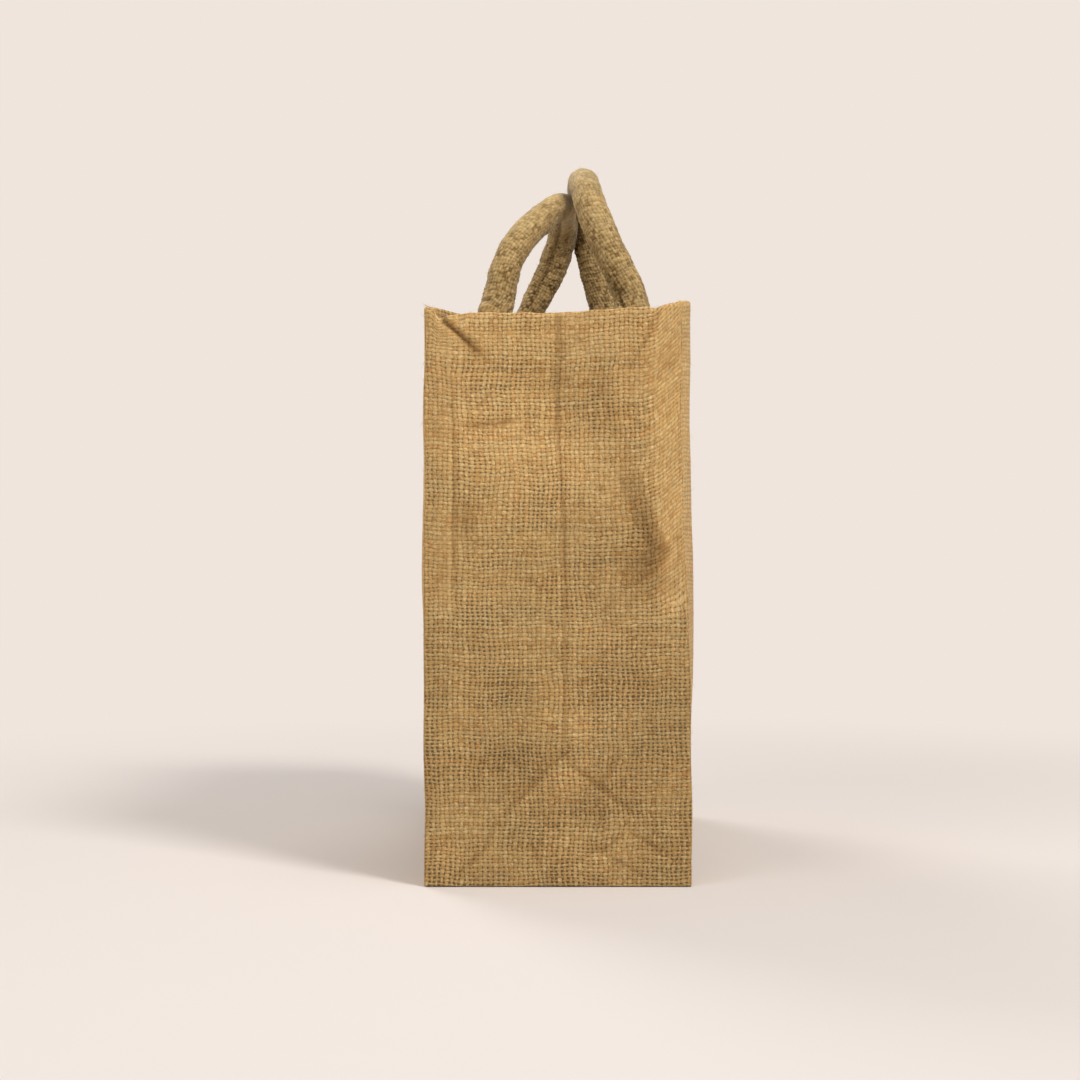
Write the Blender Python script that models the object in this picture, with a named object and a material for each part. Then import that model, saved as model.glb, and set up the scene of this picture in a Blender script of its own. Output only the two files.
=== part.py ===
"""Jute gift bag with two padded rope handles. Metres, +Z up, origin under the middle of the base.

The narrow (gusset) side faces -Y and +Y, the wide panels face -X and +X.
Every cloth panel is one sheet: its wall, its hem turned to the inside at the rim,
and its seam allowances turned to the inside at the two corners.
"""
import math

import bpy
import bmesh
import numpy as np
from mathutils import Vector

for old in list(bpy.data.objects):
    bpy.data.objects.remove(old, do_unlink=True)

# ---------------------------------------------------------------- driving dimensions (metres)
GUSSET_WIDTH = 0.130
WIDE_FACE = 0.250
CLOTH_HEIGHT = 0.2865
CLOTH = 0.0012            # thickness of the jute cloth
FILM = 0.0003             # laminating film
GAP = 0.0003              # between touching pieces
HEM = 0.020               # depth of the hem that is turned inside
SEAM_FIN = 0.008          # seam allowance turned inside at each corner
BASE_FLANGE = 0.0085      # seam allowance of the base, turned up inside the walls
THREAD_R = 0.0004
RIDGE_LEFT = -0.051       # soft folds beside the flat middle of the near gusset
RIDGE_RIGHT = 0.048
LEFT_STRIP_TURN = 21.0    # degrees that the cloth turns away outside the ridges
RIGHT_STRIP_TURN = 36.0
NEAR_VALLEY = 11.5        # slope of the pressed centre crease of the near gusset
FAR_VALLEY = 24.0
SLEEVE_WALL = 0.0014
HANDLE_END_LENGTH = 0.046
HANDLE_END_WIDTH = 0.024
HANDLE_END_THICK = 0.005

HALF_X = GUSSET_WIDTH / 2 - CLOTH / 2
HALF_Y = WIDE_FACE / 2 - CLOTH / 2


# ---------------------------------------------------------------- small helpers
def smooth(t):
    t = min(max(t, 0.0), 1.0)
    return t * t * (3 - 2 * t)


def through(keys, t):
    """A smooth curve through (place, value) keys."""
    place = [k[0] for k in keys]
    value = [k[1] for k in keys]
    if t <= place[0]:
        return value[0]
    if t >= place[-1]:
        return value[-1]
    i = max(j for j in range(len(keys) - 1) if place[j] <= t)
    h = place[i + 1] - place[i]

    def slope(j):
        a, b = max(j - 1, 0), min(j + 1, len(keys) - 1)
        return (value[b] - value[a]) / (place[b] - place[a])

    f = (t - place[i]) / h
    return (
        value[i] * (1 + 2 * f) * (1 - f) ** 2
        + slope(i) * h * f * (1 - f) ** 2
        + value[i + 1] * f * f * (3 - 2 * f)
        + slope(i + 1) * h * f * f * (f - 1)
    )


def unit(v):
    v = np.asarray(v, float)
    return v / np.linalg.norm(v)


def material(name, colour, roughness, metallic=0.0):
    found = bpy.data.materials.get(name)
    if found:
        return found
    made = bpy.data.materials.new(name)
    made.use_nodes = True
    shader = made.node_tree.nodes["Principled BSDF"]
    shader.inputs["Base Color"].default_value = (*colour, 1.0)
    shader.inputs["Roughness"].default_value = roughness
    shader.inputs["Metallic"].default_value = metallic
    return made


JUTE = ("jute_cloth", (0.46, 0.29, 0.115), 0.9)
SLEEVE = ("jute_sleeve", (0.37, 0.26, 0.125), 0.92)
CORE = ("rope_core", (0.62, 0.55, 0.42), 0.9)
LAMINATE = ("laminating_film", (0.60, 0.50, 0.34), 0.35)
THREAD = ("sewing_thread", (0.50, 0.36, 0.17), 0.7)


def finish_object(obj, look, parent=None):
    obj.data.materials.append(material(*look))
    bpy.context.scene.collection.objects.link(obj)
    if parent is not None:
        obj.parent = parent
    return obj


def mesh_object(name, points, faces, look, thickness=None, even=False, smooth_shade=True):
    mesh = bpy.data.meshes.new(name)
    bm = bmesh.new()
    verts = [bm.verts.new(tuple(float(c) for c in p)) for p in points]
    for face in faces:
        bm.faces.new([verts[i] for i in face])
    bmesh.ops.recalc_face_normals(bm, faces=bm.faces)
    bm.to_mesh(mesh)
    bm.free()
    if smooth_shade:
        mesh.shade_smooth()
        mesh.set_sharp_from_angle(angle=math.radians(50))
    obj = finish_object(bpy.data.objects.new(name, mesh), look)
    if thickness:
        solid = obj.modifiers.new("cloth", "SOLIDIFY")
        solid.thickness = thickness
        solid.offset = 0.0
        solid.use_even_offset = even
    return obj


def curve_object(name, points, radius, look, closed=False, sides=0, radii=None, parent=None, caps=True):
    curve = bpy.data.curves.new(name, "CURVE")
    curve.dimensions = "3D"
    curve.bevel_depth = radius
    curve.bevel_resolution = sides
    curve.use_fill_caps = caps and not closed
    spline = curve.splines.new("POLY")
    spline.points.add(len(points) - 1)
    for i, p in enumerate(points):
        spline.points[i].co = (*[float(c) for c in p], 1.0)
        spline.points[i].radius = radii[i] / radius if radii is not None else 1.0
    spline.use_cyclic_u = closed
    spline.use_smooth = True
    return finish_object(bpy.data.objects.new(name, curve), look, parent)


# ---------------------------------------------------------------- the walls' shape
def gusset_plan(height, side):
    """Plan curve of a gusset at a height: cloth places from corner to corner, and x, y there.

    The cloth keeps its length: its direction is given, and the curve is the sum of its steps.
    """
    place = np.linspace(-HALF_X, HALF_X, 261)
    turn = smooth((height - 0.050) / 0.150)
    fold = smooth((height - 0.062) / 0.180)
    if side < 0:
        angles = [-LEFT_STRIP_TURN * turn, NEAR_VALLEY * fold, -NEAR_VALLEY * fold, RIGHT_STRIP_TURN * turn]
        folds = [RIDGE_LEFT, 0.0, RIDGE_RIGHT]
    else:
        angles = [-18.0 * turn, FAR_VALLEY * fold, -FAR_VALLEY * fold, 18.0 * turn]
        folds = [-0.052, 0.0, 0.052]
    width = [0.004, 0.003, 0.005]
    angle = np.full_like(place, math.radians(angles[0]))
    for k in range(3):
        f = np.clip((place - folds[k]) / width[k] * 0.5 + 0.5, 0, 1)
        angle += math.radians(angles[k + 1] - angles[k]) * f * f * (3 - 2 * f)
    step = place[1] - place[0]
    x = np.concatenate([[0], np.cumsum(np.cos((angle[1:] + angle[:-1]) / 2) * step)])
    y = np.concatenate([[0], np.cumsum(np.sin((angle[1:] + angle[:-1]) / 2) * step)])
    x -= np.interp(0.0, place, x) + 0.0010 * turn
    y -= y.min()
    if side < 0:
        return place, x, -HALF_Y + y
    return place, x, HALF_Y - y


RIM_NEAR = [(-0.0644, 0.2845), (-0.057, 0.2835), (-0.050, 0.2768), (-0.034, 0.2785), (0.0, 0.2790),
            (0.040, 0.2812), (0.050, 0.2820), (0.058, 0.2848), (0.0644, 0.2858)]
RIM_FAR = [(-0.0644, 0.2840), (-0.045, 0.2800), (0.0, 0.2775), (0.045, 0.2800), (0.0644, 0.2845)]

# The rims of the wide panels seen from above, as y and x: they bulge out behind the corners and
# the handles draw them in.
LEFT_RIM = [(-0.1000, -0.0668), (-0.0850, -0.0632), (-0.0650, -0.0487), (-0.0530, -0.0410),
            (-0.0410, -0.0375), (0.0, -0.0320), (0.0410, -0.0275), (0.0530, -0.0270),
            (0.0650, -0.0295), (0.0880, -0.0455), (0.1020, -0.0560)]
RIGHT_RIM = [(-0.1000, 0.0655), (-0.0850, 0.0634), (-0.0650, 0.0545), (-0.0530, 0.0495),
             (-0.0410, 0.0470), (0.0, 0.0435), (0.0410, 0.0405), (0.0530, 0.0400),
             (0.0650, 0.0420), (0.0880, 0.0525), (0.1020, 0.0590)]


class Panel:
    """A wall of the bag: at(u, height) is a point of its middle surface, u from -1 to 1."""

    def __init__(self, kind):
        self.kind = kind
        self.plans = {}
        self.half = HALF_X if kind in ("near", "far") else HALF_Y

    def plan(self, height, side):
        key = (round(height, 6), side)
        if key not in self.plans:
            self.plans[key] = gusset_plan(height, side)
        return self.plans[key]

    def corner(self, height, side_x, side_y):
        place, x, y = self.plan(height, side_y)
        i = -1 if side_x > 0 else 0
        return x[i], y[i]

    def rim_height(self, u):
        if self.kind == "near":
            return through(RIM_NEAR, u * HALF_X)
        if self.kind == "far":
            return through(RIM_FAR, u * HALF_X)
        near, far = (0.2845, 0.2840) if self.kind == "left" else (0.2858, 0.2845)
        keys = [(-1, near), (-0.75, 0.2865), (-0.5, 0.2865), (0.5, 0.2865), (0.8, 0.2860), (1, far)]
        return through(keys, u)

    def at(self, u, height):
        if self.kind in ("near", "far"):
            place, x, y = self.plan(height, -1 if self.kind == "near" else 1)
            px = np.interp(u * HALF_X, place, x)
            py = np.interp(u * HALF_X, place, y)
        else:
            side = -1 if self.kind == "left" else 1
            x0, y0 = self.corner(height, side, -1)
            x1, y1 = self.corner(height, side, 1)
            q = (u + 1) / 2
            px, py = x0 + (x1 - x0) * q, y0 + (y1 - y0) * q
            # the rim's own line, then how much of it this height has
            tx0, ty0 = self.corner(CLOTH_HEIGHT, side, -1)
            tx1, ty1 = self.corner(CLOTH_HEIGHT, side, 1)
            keys = LEFT_RIM if side < 0 else RIGHT_RIM
            keys = [(ty0, tx0), *keys, (ty1, tx1)]
            ry = ty0 + (ty1 - ty0) * q
            off = (through(keys, ry) - (tx0 + (tx1 - tx0) * q)) * -side
            if off > 0:
                t = min(max((height - 0.085) / (CLOTH_HEIGHT - 0.085), 0), 1)
                off *= t * t * (1.35 - 0.35 * t)
            else:
                off *= smooth((height - 0.045) / 0.13)
            px -= side * off
        z = height - (CLOTH_HEIGHT - self.rim_height(u)) * (height / CLOTH_HEIGHT) ** 2
        return np.array([px, py, z])

    def inward(self, u, height):
        e, g = 0.004 / self.half, 0.003
        a = self.at(max(u - e, -1), height)
        b = self.at(min(u + e, 1), height)
        c = self.at(u, max(height - g, 0))
        d = self.at(u, min(height + g, CLOTH_HEIGHT))
        n = unit(np.cross(b - a, d - c))
        way_in = {"near": n[1], "far": -n[1], "left": n[0], "right": -n[0]}[self.kind]
        return n if way_in > 0 else -n

    def off(self, u, height, distance):
        return self.at(u, height) + self.inward(u, height) * distance

    def end_point(self, sign, height):
        """Where the wall stops short of the corner, and the way its seam allowance points."""
        here = self.at(sign, height)
        into = self.at(sign * (1 - 0.003 / self.half), height) - here
        into[2] = 0
        into = unit(into)
        other, other_sign = NEIGHBOUR[(self.kind, sign)]
        other = PANELS[other]
        into_other = other.at(other_sign * (1 - 0.003 / other.half), height) - other.at(other_sign, height)
        into_other[2] = 0
        into_other = unit(into_other)
        middle = unit(into + into_other)
        half_angle = math.acos(min(max(float(np.dot(into, middle)), -1), 1))
        stop = (CLOTH + GAP) / 2 / math.sin(half_angle)
        return here + into * stop, middle


PANELS = {kind: Panel(kind) for kind in ("near", "far", "left", "right")}
NEIGHBOUR = {
    ("near", -1): ("left", -1), ("near", 1): ("right", -1), ("far", -1): ("left", 1), ("far", 1): ("right", 1),
    ("left", -1): ("near", -1), ("left", 1): ("far", -1), ("right", -1): ("near", 1), ("right", 1): ("far", 1),
}

FOLD_R = (CLOTH + GAP) / 2
FIN_LOW, FIN_HIGH = 0.0105, 0.2640
NEAR_COLUMNS = [-0.0604, -0.055, -0.051, -0.047, -0.034, -0.018, -0.004, 0.0, 0.004, 0.018, 0.034, 0.0445, 0.048, 0.052, 0.0604]
FAR_COLUMNS = [-0.0604, -0.054, -0.049, -0.030, -0.004, 0.0, 0.004, 0.030, 0.049, 0.054, 0.0604]
WIDE_COLUMNS = [-0.1204, -0.108, -0.096, -0.080, -0.065, -0.053, -0.041, -0.015, 0.015, 0.041, 0.053, 0.065, 0.080, 0.096, 0.110, 0.1204]
ROWS = [0.0, FIN_LOW - 0.0012, FIN_LOW, 0.050, 0.085, 0.115, 0.145, 0.175, 0.205, 0.235, FIN_HIGH]


def columns_of(kind):
    table = {"near": NEAR_COLUMNS, "far": FAR_COLUMNS}.get(kind, WIDE_COLUMNS)
    half = PANELS[kind].half
    return [c / half for c in table]


def cloth_panel(name, kind):
    """Wall, two seam allowances and the turned hem, as one sheet that is then given its thickness."""
    panel = PANELS[kind]
    columns = columns_of(kind)
    rows = ROWS + [FIN_HIGH + 0.0012, CLOTH_HEIGHT - FOLD_R]
    points, faces = [], []

    def add(p):
        points.append(p)
        return len(points) - 1

    wall = []
    for height in rows:
        line = [add(panel.end_point(-1, height)[0])]
        line += [add(panel.at(u, height)) for u in columns]
        line += [add(panel.end_point(1, height)[0])]
        wall.append(line)
    for r in range(len(wall) - 1):
        for c in range(len(wall[0]) - 1):
            faces.append([wall[r][c], wall[r][c + 1], wall[r + 1][c + 1], wall[r + 1][c]])
    # seam allowances, below the hem
    for sign in (-1, 1):
        column = 0 if sign < 0 else -1
        fin = []
        for r, height in enumerate(rows):
            if FIN_LOW - 1e-6 <= height <= FIN_HIGH + 1e-6:
                end, way = panel.end_point(sign, height)
                fin.append((r, add(end + way * SEAM_FIN)))
        for (r0, f0), (r1, f1) in zip(fin, fin[1:]):
            faces.append([wall[r0][column], wall[r1][column], f1, f0])
    # the hem: over the rim in a half turn and down the inside
    top = CLOTH_HEIGHT - FOLD_R
    turns = [(FOLD_R * (1 - math.cos(a)), FOLD_R * math.sin(a)) for a in (math.pi / 4, math.pi / 2, 3 * math.pi / 4, math.pi)]
    previous = wall[-1][1:-1]
    for distance, rise in turns:
        line = []
        for u in columns:
            p = panel.off(u, top, distance)
            p[2] = panel.at(u, top)[2] + rise
            line.append(add(p))
        for c in range(len(line) - 1):
            faces.append([previous[c], previous[c + 1], line[c + 1], line[c]])
        previous = line
    for down in (HEM * 0.5, HEM):
        line = [add(panel.off(u, CLOTH_HEIGHT - down, 2 * FOLD_R)) for u in columns]
        for c in range(len(line) - 1):
            faces.append([previous[c], previous[c + 1], line[c + 1], line[c]])
        previous = line
    return mesh_object(name, points, faces, JUTE, thickness=CLOTH)


def film_panel(name, kind):
    """The film bonded to the inside of a panel, between the base seam and the hem."""
    panel = PANELS[kind]
    columns = columns_of(kind)
    rows = ROWS[2:]
    distance = CLOTH / 2 + GAP + FILM / 2
    points, faces = [], []
    grid = []
    for height in rows:
        line = []
        for u in columns:
            points.append(panel.off(u, height, distance))
            line.append(len(points) - 1)
        grid.append(line)
    for r in range(len(grid) - 1):
        for c in range(len(grid[0]) - 1):
            faces.append([grid[r][c], grid[r][c + 1], grid[r + 1][c + 1], grid[r + 1][c]])
    return mesh_object(name, points, faces, LAMINATE, thickness=FILM)


for label, kind in (("near_gusset", "near"), ("far_gusset", "far"), ("left_panel", "left"), ("right_panel", "right")):
    cloth_panel(label, kind)
    film_panel(label + "_film", kind)

# ---------------------------------------------------------------- base: a shallow tray of cloth and its film
tray_x = HALF_X - CLOTH - GAP
tray_y = HALF_Y - CLOTH - GAP
base_points = []
for z in (CLOTH / 2, BASE_FLANGE):
    for sx, sy in ((-1, -1), (1, -1), (1, 1), (-1, 1)):
        base_points.append((sx * tray_x, sy * tray_y, z))
base_faces = [[0, 1, 2, 3]] + [[i, (i + 1) % 4, 4 + (i + 1) % 4, 4 + i] for i in range(4)]
mesh_object("base_panel", base_points, base_faces, JUTE, thickness=CLOTH, even=True, smooth_shade=False)

film_x, film_y = tray_x - CLOTH / 2 - 0.0008, tray_y - CLOTH / 2 - 0.0008
film_z = CLOTH + GAP + FILM / 2
mesh_object(
    "base_film",
    [(-film_x, -film_y, film_z), (film_x, -film_y, film_z), (film_x, film_y, film_z), (-film_x, film_y, film_z)],
    [[0, 1, 2, 3]], LAMINATE, thickness=FILM, smooth_shade=False,
)

# ---------------------------------------------------------------- sewing threads of the bag
for label, kind, sign in (
    ("corner_thread_near_left", "near", -1), ("corner_thread_near_right", "near", 1),
    ("corner_thread_far_left", "far", -1), ("corner_thread_far_right", "far", 1),
):
    panel = PANELS[kind]
    # the seam allowance is flat between two of its rows, and so is the thread beside it
    frames = []
    for height in [h for h in ROWS if FIN_LOW - 1e-6 <= h <= FIN_HIGH + 1e-6]:
        end, way = panel.end_point(sign, height)
        side = np.cross(way, (0, 0, 1.0))
        towards = panel.at(sign * 0.8, height) - panel.at(sign, height)
        if np.dot(side, towards) < 0:
            side = -side
        frames.append((height, end, end + way * SEAM_FIN, side))
    line = []
    for (h0, e0, f0, s0), (h1, e1, f1, s1) in zip(frames, frames[1:]):
        steps = max(2, round((h1 - h0) / 0.010))
        for i in range(steps):
            f = (i + 0.5) / steps
            reach = 0.62 + (0.04 if i % 2 else -0.04)
            foot = e0 + (e1 - e0) * f
            tip = f0 + (f1 - f0) * f
            line.append(foot + (tip - foot) * reach + (s0 + (s1 - s0) * f) * (CLOTH / 2 + GAP + THREAD_R + 0.0001))
    curve_object(label, line, THREAD_R, THREAD)

seam_x = tray_x - CLOTH / 2 - GAP - THREAD_R
seam_y = tray_y - CLOTH / 2 - GAP - THREAD_R
seam = []
corners = [(-seam_x, -seam_y), (seam_x, -seam_y), (seam_x, seam_y), (-seam_x, seam_y)]
for i in range(4):
    (x0, y0), (x1, y1) = corners[i], corners[(i + 1) % 4]
    count = 6 if i % 2 == 0 else 10
    for k in range(count):
        f = (0.03 + 0.94 * k / (count - 1))
        seam.append((x0 + (x1 - x0) * f, y0 + (y1 - y0) * f, 0.0052 + (0.0003 if k % 2 else -0.0003)))
curve_object("base_seam_thread", seam, THREAD_R, THREAD, closed=True)

hem_line = []
for kind, direction in (("near", 1), ("right", 1), ("far", -1), ("left", -1)):
    panel = PANELS[kind]
    columns = columns_of(kind)
    margin = 0.007 / panel.half
    inner = [u for u in columns if abs(u) < 1 - margin]
    stops = [-(1 - margin)] + inner + [1 - margin]
    for u in (stops if direction > 0 else stops[::-1]):
        hem_line.append(panel.off(u, CLOTH_HEIGHT - 0.017, 2 * FOLD_R + CLOTH / 2 + GAP + THREAD_R))
curve_object("hem_thread", hem_line, THREAD_R, THREAD, closed=True)

# ---------------------------------------------------------------- handles
# Route of each handle's centre line, from the near leg's hinge point over the crown to the far
# leg's, and the rope's radius at the near leg, crown and far leg.
LEFT_ROUTE = [(-0.0298, -0.0530, 0.2953), (-0.0281, -0.0528, 0.3050), (-0.0232, -0.0502, 0.3190),
              (-0.0120, -0.0425, 0.3345), (-0.0014, -0.0280, 0.3453), (0.0036, -0.0090, 0.3506),
              (0.0046, 0.0110, 0.3516), (0.0032, 0.0285, 0.3474), (-0.0010, 0.0425, 0.3350),
              (-0.0066, 0.0502, 0.3190), (-0.0120, 0.0526, 0.3065), (-0.0162, 0.0530, 0.2953)]
RIGHT_ROUTE = [(0.0390, -0.0530, 0.2958), (0.0356, -0.0528, 0.3045), (0.0290, -0.0512, 0.3190),
               (0.0224, -0.0464, 0.3350), (0.0182, -0.0365, 0.3500), (0.0164, -0.0195, 0.3608),
               (0.0154, -0.0010, 0.3646), (0.0150, 0.0160, 0.3640), (0.0156, 0.0310, 0.3580),
               (0.0176, 0.0430, 0.3440), (0.0220, 0.0506, 0.3250), (0.0262, 0.0527, 0.3090),
               (0.0298, 0.0530, 0.2958)]
LEFT_RADII = (0.0078, 0.0069, 0.0069)
RIGHT_RADII = (0.0084, 0.0077, 0.0077)


def smooth_route(keys, count):
    """Points evenly along the natural cubic curve through the keys."""
    p = np.array(keys)
    t = np.concatenate([[0], np.cumsum(np.linalg.norm(np.diff(p, axis=0), axis=1) ** 0.5)])
    n = len(p)
    h = np.diff(t)
    system, right = np.eye(n), np.zeros((n, 3))
    for i in range(1, n - 1):
        system[i, i - 1], system[i, i], system[i, i + 1] = h[i - 1], 2 * (h[i - 1] + h[i]), h[i]
        right[i] = 6 * ((p[i + 1] - p[i]) / h[i] - (p[i] - p[i - 1]) / h[i - 1])
    bend = np.linalg.solve(system, right)
    q = np.linspace(0, t[-1], 1200)
    k = np.clip(np.searchsorted(t, q, side="right") - 1, 0, n - 2)
    hh, a, b = h[k][:, None], (t[k + 1] - q)[:, None], (q - t[k])[:, None]
    c = (bend[k] * a**3 + bend[k + 1] * b**3) / (6 * hh) + (p[k] / hh - bend[k] * hh / 6) * a + (p[k + 1] / hh - bend[k + 1] * hh / 6) * b
    s = np.concatenate([[0], np.cumsum(np.linalg.norm(np.diff(c, axis=0), axis=1))])
    places = np.linspace(0, s[-1], count)
    return np.stack([np.interp(places, s, c[:, i]) for i in range(3)], 1)


def rope_radius(y, radii):
    f = smooth((y + 0.053) / 0.053)
    g = smooth(y / 0.053)
    return radii[0] + (radii[1] - radii[0]) * f + (radii[2] - radii[1]) * g


def handle(side, route, radii):
    line = smooth_route(route, 27)
    hinge_near, hinge_far = line[0], line[-1]
    centre = (hinge_near + hinge_far) / 2
    swing = bpy.data.objects.new(side + "_handle_swing", None)
    swing.location = Vector([float(c) for c in centre])
    bpy.context.scene.collection.objects.link(swing)
    near_way, far_way = unit(line[0] - line[1]), unit(line[-1] - line[-2])
    for piece, inset, look, stops, res in (
        ("sleeve", 0.0, SLEEVE, (0.25, 0.55, 0.80, 0.945), 4),
        ("core", SLEEVE_WALL + GAP, CORE, (0.30, 0.65, 0.90), 2),
    ):
        points, widths = [], []
        r_near, r_far = radii[0] - inset, radii[2] - inset
        for f in reversed(stops):
            points.append(line[0] + near_way * r_near * f)
            widths.append(r_near * math.sqrt(1 - f * f))
        for p in line:
            points.append(p)
            widths.append(rope_radius(p[1], radii) - inset)
        for f in stops:
            points.append(line[-1] + far_way * r_far * f)
            widths.append(r_far * math.sqrt(1 - f * f))
        local = [p - centre for p in points]
        made = curve_object(
            side + "_handle_" + piece, local, radii[0], look, sides=res, radii=widths,
            parent=swing, caps=piece == "core",
        )
        if piece == "sleeve":
            solid = made.modifiers.new("woven wall", "SOLIDIFY")
            solid.thickness = SLEEVE_WALL
            solid.offset = -1.0
            solid.use_even_offset = True
    return swing, hinge_near, hinge_far


left_swing, *_ = handle("left", LEFT_ROUTE, LEFT_RADII)
right_swing, *_ = handle("right", RIGHT_ROUTE, RIGHT_RADII)


def panel_u(kind, y, height):
    """The place along a wide panel that lies at this y."""
    low, high = -1.0, 1.0
    for _ in range(40):
        mid = (low + high) / 2
        if PANELS[kind].at(mid, height)[1] < y:
            low = mid
        else:
            high = mid
    return (low + high) / 2


def handle_end(side, which, y, radius, hinge_height):
    """A handle's end: round where it leaves the rope, pressed flat lower down, against the hem."""
    panel = PANELS[side]
    back = 2 * FOLD_R + CLOTH / 2 + GAP + 2 * THREAD_R + GAP
    top_z = hinge_height - radius - GAP
    place = panel_u(side, y, CLOTH_HEIGHT - 0.010)
    rows = 8
    sides = 14
    rings = []
    top_height = CLOTH_HEIGHT - 0.0008
    low_height = CLOTH_HEIGHT - HANDLE_END_LENGTH
    for r in range(rows):
        f = r / (rows - 1)
        height = low_height + (top_height - low_height) * f
        rounding = smooth((f - 0.45) / 0.50)
        half_wide = HANDLE_END_WIDTH / 2 * (1 - rounding) + radius * rounding
        half_thick = HANDLE_END_THICK / 2 * (1 - rounding) + (radius - GAP) * rounding
        power = 2 / (4 - 2 * rounding)
        ring = []
        for k in range(sides):
            a = 2 * math.pi * k / sides
            c, s = math.cos(a), math.sin(a)
            along = half_wide * math.copysign(abs(c) ** power, c)
            out = half_thick * math.copysign(abs(s) ** power, s)
            u = place + along / panel.half
            normal = panel.inward(place, height)
            p = panel.at(u, height) * 1.0
            p = p + panel.inward(u, height) * back + normal * (half_thick + out)
            if r == rows - 1:
                p[2] = top_z
            ring.append(p)
        rings.append(ring)
    points = [p for ring in rings for p in ring]
    faces = []
    for r in range(rows - 1):
        for k in range(sides):
            a, b = r * sides + k, r * sides + (k + 1) % sides
            faces.append([a, b, b + sides, a + sides])
    faces.append([k for k in range(sides)][::-1])
    faces.append([(rows - 1) * sides + k for k in range(sides)])
    name = side + "_handle_" + which + "_end"
    mesh_object(name, points, faces, SLEEVE)
    # the box of stitches through the flat part
    loop = []
    low, high = low_height + 0.004, low_height + 0.018
    outline = [(-0.008, low), (-0.003, low), (0.003, low), (0.008, low), (0.008, (low + high) / 2), (0.008, high),
               (0.003, high), (-0.003, high), (-0.008, high), (-0.008, (low + high) / 2)]
    for along, height in outline:
        normal = panel.inward(place, height)
        p = panel.at(place + along / panel.half, height) + panel.inward(place + along / panel.half, height) * back
        loop.append(p + normal * (HANDLE_END_THICK + GAP + THREAD_R))
    curve_object(side + "_handle_" + which + "_stitch", loop, THREAD_R, THREAD, closed=True)


for side, route, radii in (("left", LEFT_ROUTE, LEFT_RADII), ("right", RIGHT_ROUTE, RIGHT_RADII)):
    handle_end(side, "near", route[0][1], radii[0], route[0][2])
    handle_end(side, "far", route[-1][1], radii[2], route[-1][2])
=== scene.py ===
import math

import bpy
import numpy as np
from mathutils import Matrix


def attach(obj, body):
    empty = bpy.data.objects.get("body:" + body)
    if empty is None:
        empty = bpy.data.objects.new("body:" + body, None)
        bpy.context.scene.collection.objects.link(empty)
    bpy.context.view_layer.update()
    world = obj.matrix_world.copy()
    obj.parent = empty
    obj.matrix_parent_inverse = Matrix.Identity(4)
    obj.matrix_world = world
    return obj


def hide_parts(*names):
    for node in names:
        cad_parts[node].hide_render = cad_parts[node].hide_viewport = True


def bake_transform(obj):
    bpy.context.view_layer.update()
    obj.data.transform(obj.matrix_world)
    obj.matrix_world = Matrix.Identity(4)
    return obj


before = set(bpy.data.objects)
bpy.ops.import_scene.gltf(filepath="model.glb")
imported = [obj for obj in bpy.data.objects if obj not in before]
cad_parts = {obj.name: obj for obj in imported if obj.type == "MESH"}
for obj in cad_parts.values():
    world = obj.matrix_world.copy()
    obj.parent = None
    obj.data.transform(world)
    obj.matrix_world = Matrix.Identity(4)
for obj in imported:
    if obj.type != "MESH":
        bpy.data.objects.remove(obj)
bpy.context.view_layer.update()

# ================================================================ the bag's shape (metres)
GUSSET_WIDTH, WIDE_FACE, H = 0.130, 0.250, 0.2865
CLOTH, FILM, GAP, HEM = 0.0012, 0.0003, 0.0003, 0.020
HALF_X, HALF_Y = GUSSET_WIDTH / 2 - CLOTH / 2, WIDE_FACE / 2 - CLOTH / 2
FOLD_R = (CLOTH + GAP) / 2
WARP_PITCH, WEFT_PITCH = 0.0024, 0.00203
ROWS = 287
HEIGHTS = np.linspace(0, H, ROWS)


def smooth(t):
    t = np.clip(t, 0, 1)
    return t * t * (3 - 2 * t)


def through(keys, t):
    """A smooth curve through (place, value) keys, for an array of places."""
    place = np.array([k[0] for k in keys])
    value = np.array([k[1] for k in keys])
    n = len(keys)
    slope = np.empty(n)
    for j in range(n):
        a, b = max(j - 1, 0), min(j + 1, n - 1)
        slope[j] = (value[b] - value[a]) / (place[b] - place[a])
    t = np.clip(t, place[0], place[-1])
    i = np.clip(np.searchsorted(place, t, side="right") - 1, 0, n - 2)
    h = place[i + 1] - place[i]
    f = (t - place[i]) / h
    return (
        value[i] * (1 + 2 * f) * (1 - f) ** 2 + slope[i] * h * f * (1 - f) ** 2
        + value[i + 1] * f * f * (3 - 2 * f) + slope[i + 1] * h * f * f * (f - 1)
    )


def normed(v):
    return v / np.maximum(np.linalg.norm(v, axis=-1, keepdims=True), 1e-12)


def waves(x, y, seed, wavelength, count=16, stretch=1.0):
    """Smooth noise of about unit size: seeded sine waves in many directions."""
    rng = np.random.default_rng(seed)
    total = 0.0
    for _ in range(count):
        way, size, phase = rng.uniform(0, 2 * math.pi), rng.uniform(0.65, 1.5), rng.uniform(0, 2 * math.pi)
        total = total + np.sin(2 * math.pi * (x * math.cos(way) / stretch + y * math.sin(way)) / (wavelength * size) + phase)
    return total / math.sqrt(count / 2)


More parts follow.
